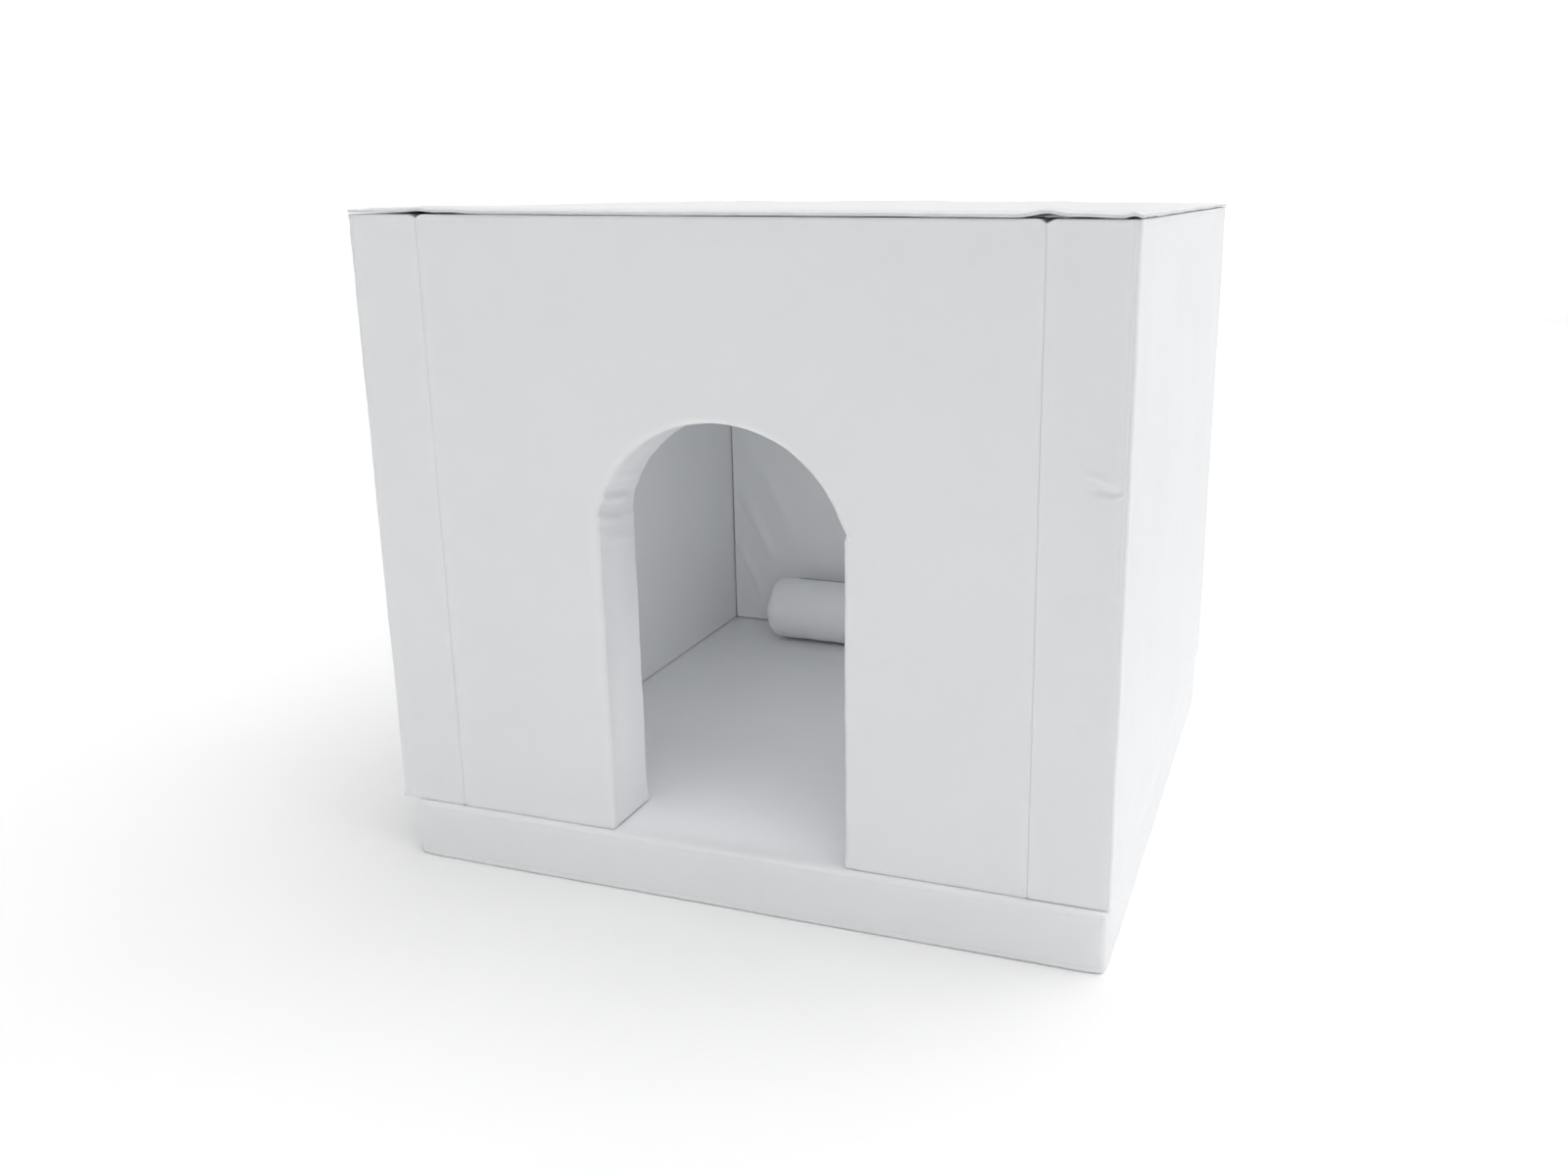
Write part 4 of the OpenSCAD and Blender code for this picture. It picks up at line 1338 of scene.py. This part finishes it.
def zipPieces(name, length, curved, place, body, seed, look):
    half, thick, inner, outer = length / 2, look["tapeThick"], look["hemInner"], look["hemOuter"]

    def rest(y):
        # the face under the zip, which falls away on a round cushion
        return np.sqrt(curved ** 2 - y ** 2) - curved if curved else 0 * y

    def under(x, y):
        return rest(y) + look["offFace"]

    def onTape(x, y):
        return thick + 0 * x

    def tapeTop(x, y):
        line = np.stack([x, np.sign(y), 0 * x], 1)
        return rest(y) + thick + 0.3 * np.abs(0.0002 * softNoise(line, 0.018, seed))

    tapeHalf = look["tapeWidth"] / 2
    xs = np.linspace(-half, half, int(length / 0.004))
    tape, quads = flatBand(xs, np.linspace(-tapeHalf, tapeHalf, 15), under, tapeTop)
    piece = makePiece(name + "Tape", placed(tape, place), quads, body, finishes["tape"],
                      uv=tape[:, :2])
    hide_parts(name.lower() + "_zip_tape")

    # the teeth: two rows of coil turns, half a pitch apart, over a sewn core, with a stop at both ends
    pitch, coreWidth = look["teethPitch"], look["coreWidth"]
    reach = half - look["stopLength"] - 0.001
    other = reach - pitch / 2
    rows = [[(-reach, 0, thick), (reach, 0, thick)], [(other, 0, thick), (-other, 0, thick)]]
    parts = [alongPaths(rows, tooth, pitch, 0.02, seed, finishes["teeth"])]

    def coreTop(x, y):
        return thick + look["coreHeight"] * (1 - 0.4 * (2 * y / coreWidth) ** 2)

    coreYs = np.linspace(-coreWidth / 2, coreWidth / 2, 5)
    parts.append(flatBand(np.linspace(-half, half, 60), coreYs, onTape, coreTop))
    stopLong, stopWide = look["stopLength"] / 2, look["stopHalf"]
    for middle in (stopLong - half, half - stopLong):
        def stopTop(x, y):
            far = np.maximum(np.abs(x - middle) / stopLong, np.abs(y) / stopWide)
            return thick + look["stopHeight"] * np.sqrt(np.clip(1.08 - far ** 4, 0.05, 1))

        stopXs = np.linspace(middle - stopLong, middle + stopLong, 7)
        parts.append(flatBand(stopXs, np.linspace(-stopWide, stopWide, 7), onTape, stopTop))
    points, faces = joined(parts)
    piece = makePiece(name + "Teeth", placed(points, place), faces, body, finishes["teeth"])
    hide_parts(name.lower() + "_zip_chain")

    # folded vinyl over both sides of the tape, and a row of stitches through each fold
    folds, paths = [], []
    for side in (-1, 1):
        ends = [(inner, 0.001, 0.0004), (outer, 0.001, 0.0005)]
        ys = np.sort(side * gridLines(inner, outer, 0.0016, ends))

        def foldTop(x, y):
            y = np.abs(y)
            line = np.stack([x, 0 * x + side, 0 * x], 1)
            lip = np.sqrt(np.clip(1 - np.clip(1 - (y - inner) / look["lipWidth"], 0, 1) ** 2, 0, 1))
            ramp = np.clip((outer - y) / look["rampWidth"], 0, 1) ** 0.5
            off = y - inner - look["stitchInset"]
            pucker = look["hemPucker"] * softNoise(line, 0.006, seed + 3) * hump(off, 0.0012)
            dip = look["stitchDip"] * hump(off, 0.0007)
            return rest(y) + 0.0001 + (thick + look["hemThick"]) * np.minimum(lip, ramp) + pucker - dip

        end = half + look["hemPast"]
        folds.append(flatBand(np.linspace(-end, end, int(length / 0.0028)), ys, under, foldTop))
        y, end = side * (inner + look["stitchInset"]), half + look["stitchPast"]
        top = float(rest(np.array([y]))[0]) + thick + look["hemThick"] - 0.00018
        paths.append([(-end, y, top), (end, y, top)])
    points, faces = joined(folds)
    makePiece(name + "ZipFold", placed(points, place), faces, body, finishes["vinyl"])
    points, faces = alongPaths(paths, stitch, look["stitchPitch"], 0.05, seed + 5, finishes["thread"])
    makePiece(name + "ZipStitches", placed(points, place), faces, body, finishes["thread"])
    print(name, "zip made")


def zips(look):
    # base: along its back; side walls: up their rear ends; bolster: along its upper back
    lo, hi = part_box("base_zip_tape")
    middle = (lo + hi) / 2
    place = Matrix(((1, 0, 0, middle.x), (0, 0, 1, lo.y), (0, -1, 0, middle.z), (0, 0, 0, 1)))
    zipPieces("Base", hi.x - lo.x, 0, place, "den", 300, look)
    for name, seed in (("Left", 320), ("Right", 340)):
        lo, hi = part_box(name.lower() + "_zip_tape")
        middle = (lo + hi) / 2
        place = Matrix(((0, 1, 0, middle.x), (0, 0, 1, lo.y), (1, 0, 0, middle.z), (0, 0, 0, 1)))
        zipPieces(name, hi.z - lo.z, 0, place, "den", seed, look)
    lo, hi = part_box("bolster_zip_tape")
    low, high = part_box("bolster_cover")
    radius, lean = (high.z - low.z) / 2, math.sqrt(0.5)
    at = (low + high) / 2 + Vector((0, lean, lean)) * (radius + 0.0002)
    at.x = (lo.x + hi.x) / 2
    place = Matrix(((1, 0, 0, at.x), (0, lean, lean, at.y), (0, -lean, lean, at.z), (0, 0, 0, 1)))
    zipPieces("Bolster", hi.x - lo.x, radius, place, "bolster", 360, look)


# Sliders and pulls: the CAD's own metal shapes with their edges broken
def brokenEdges(node, name, width, body):
    source = frame["nodes"][node]
    edit = bmesh.new()
    edit.from_mesh(source.data)
    bmesh.ops.remove_doubles(edit, verts=edit.verts, dist=1e-6)
    bmesh.ops.dissolve_limit(edit, angle_limit=0.02, verts=edit.verts, edges=edit.edges)
    sharp = [e for e in edit.edges if len(e.link_faces) == 2 and e.calc_face_angle(0) > 0.6]
    bmesh.ops.bevel(edit, geom=sharp, offset=width, segments=2, profile=0.6, affect="EDGES",
                    clamp_overlap=True)
    bmesh.ops.recalc_face_normals(edit, faces=edit.faces)
    mesh = bpy.data.meshes.new(name)
    edit.to_mesh(mesh)
    edit.free()
    points = np.array([source.matrix_world @ v.co for v in mesh.vertices])
    faces = [tuple(p.vertices) for p in mesh.polygons]
    piece = makePiece(name, points, faces, body, finishes["metal"])
    piece.data.polygons.foreach_set("use_smooth", np.zeros(len(faces), dtype=bool))
    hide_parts(node)


def gripUnderside(pitch, rim):
    # a thin cloth with a grid of grip dots under it
    lo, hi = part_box("base_underside")
    wide, deep, thick = hi - lo
    low = dotSize["height"] - 0.0001
    xs, ys = np.linspace(-wide / 2, wide / 2, 60), np.linspace(-deep / 2, deep / 2, 60)
    cloth = flatBand(xs, ys, lambda x, y: low + 0 * x, lambda x, y: thick + 0 * x)
    dots, dotFaces = grown(bpy.data.meshes.new("empty"), gridTree, Shape=gripDot, Seed=9,
                           Width=wide - rim, Columns=int(wide / pitch),
                           Depth=deep - rim, Rows=int(deep / pitch), Material=finishes["grip"])
    dots[:, 2] += dotSize["height"]
    points, faces = joined([cloth, (dots, dotFaces)])
    points += np.array(((lo.x + hi.x) / 2, (lo.y + hi.y) / 2, lo.z))
    piece = makePiece("GripSheet", points, faces, "den", finishes["grip"])
    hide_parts("base_underside")
    print("GripSheet", len(faces), "faces")


def addFloor(setup):
    # a wide round floor that sweeps up into a low wall all the way round
    far, bend, tall, sides = setup["wallDistance"], setup["wallBend"], setup["wallHeight"], setup["sides"]
    turn = np.linspace(0, math.pi / 2, 9)
    radii = np.concatenate([setup["floorRings"], far - bend + bend * np.sin(turn), [far]])
    heights = np.concatenate([0 * np.array(setup["floorRings"]), bend * (1 - np.cos(turn)), [tall]])
    angle = np.linspace(0, 2 * np.pi, sides, endpoint=False)
    around = np.stack([np.cos(angle), np.sin(angle), 0 * angle], 1)
    rings = [radius * around + (0, 0, height) for radius, height in zip(radii, heights)]
    faces = []
    for side in range(sides):
        after = (side + 1) % sides
        faces.append((0, 1 + side, 1 + after))
        for low in range(1, 1 + (len(radii) - 1) * sides, sides):
            faces.append((low + side, low + sides + side, low + sides + after, low + after))
    coat = Coat("studio_floor")
    tone = setup["floorColour"]
    dust = coat.spread(coat.noise(1.5, 4.0, 0.6), 0.3, 0.7, 0.0, 1.0)
    height = addNode(coat.tree, "ShaderNodeSeparateXYZ")
    coat.join(coat.where, height.inputs["Vector"])
    ahead = addNode(coat.tree, "ShaderNodeVectorMath", operation="DOT_PRODUCT")
    ahead.inputs[1].default_value = setup["glowTowards"]
    coat.join(coat.where, ahead.inputs[0])
    lit = coat.spread(ahead.outputs["Value"], setup["glowFrom"] * far, setup["glowFull"] * far, 0.0,
                      setup["wallGlow"])
    rise = coat.spread(height.outputs["Z"], 0.0, setup["glowHeight"], 0.0, 1.0)
    coat.put(Base_Color=coat.tint(dust, tone, shaded(tone, setup["floorDust"])), Roughness=0.7,
             Specular_IOR_Level=0.2, Emission_Color=(1.0, 1.0, 1.0),
             Emission_Strength=coat.sum(coat.sum(lit, rise, "MULTIPLY"), setup["floorGlow"]))
    mesh = plainMesh("floor", np.concatenate([[[0, 0, 0]]] + rings), faces, coat.material)
    floor = bpy.data.objects.new("floor", mesh)
    scene.collection.objects.link(floor)


addCamera(cameraSetup)
addLights(studio)
addFloor(studio)
scene.view_settings.view_transform = "Standard"
scene.view_settings.look = "None"
scene.cycles.diffuse_bounces = 6
scene.cycles.max_bounces = 10
print("camera, lights and floor made")

base(baseLook)
sideWall("LeftWall", "left", leftLook, -1)
sideWall("RightWall", "right", rightLook, 1)
backWall(backLook)
frontWall(frontLook)
roof(roofLook)
bolster(bolsterLook)
gripUnderside(pitch=0.021, rim=0.03)
zips(zipLook)
for zipName in ("base", "left", "right", "bolster"):
    brokenEdges(zipName + "_zip_slider", zipName.capitalize() + "Slider", 0.00025, zipName + "_slider")
    brokenEdges(zipName + "_zip_pull", zipName.capitalize() + "Pull", 0.0003, zipName + "_pull")

# CAD pieces that keep their own shape
for name, obj in frame["nodes"].items():
    for ending, finish in (("loop", "loop"), ("hook", "hook"), ("wall_zip", "teeth")):
        if name.endswith(ending):
            obj.data.materials[0] = finishes[finish]
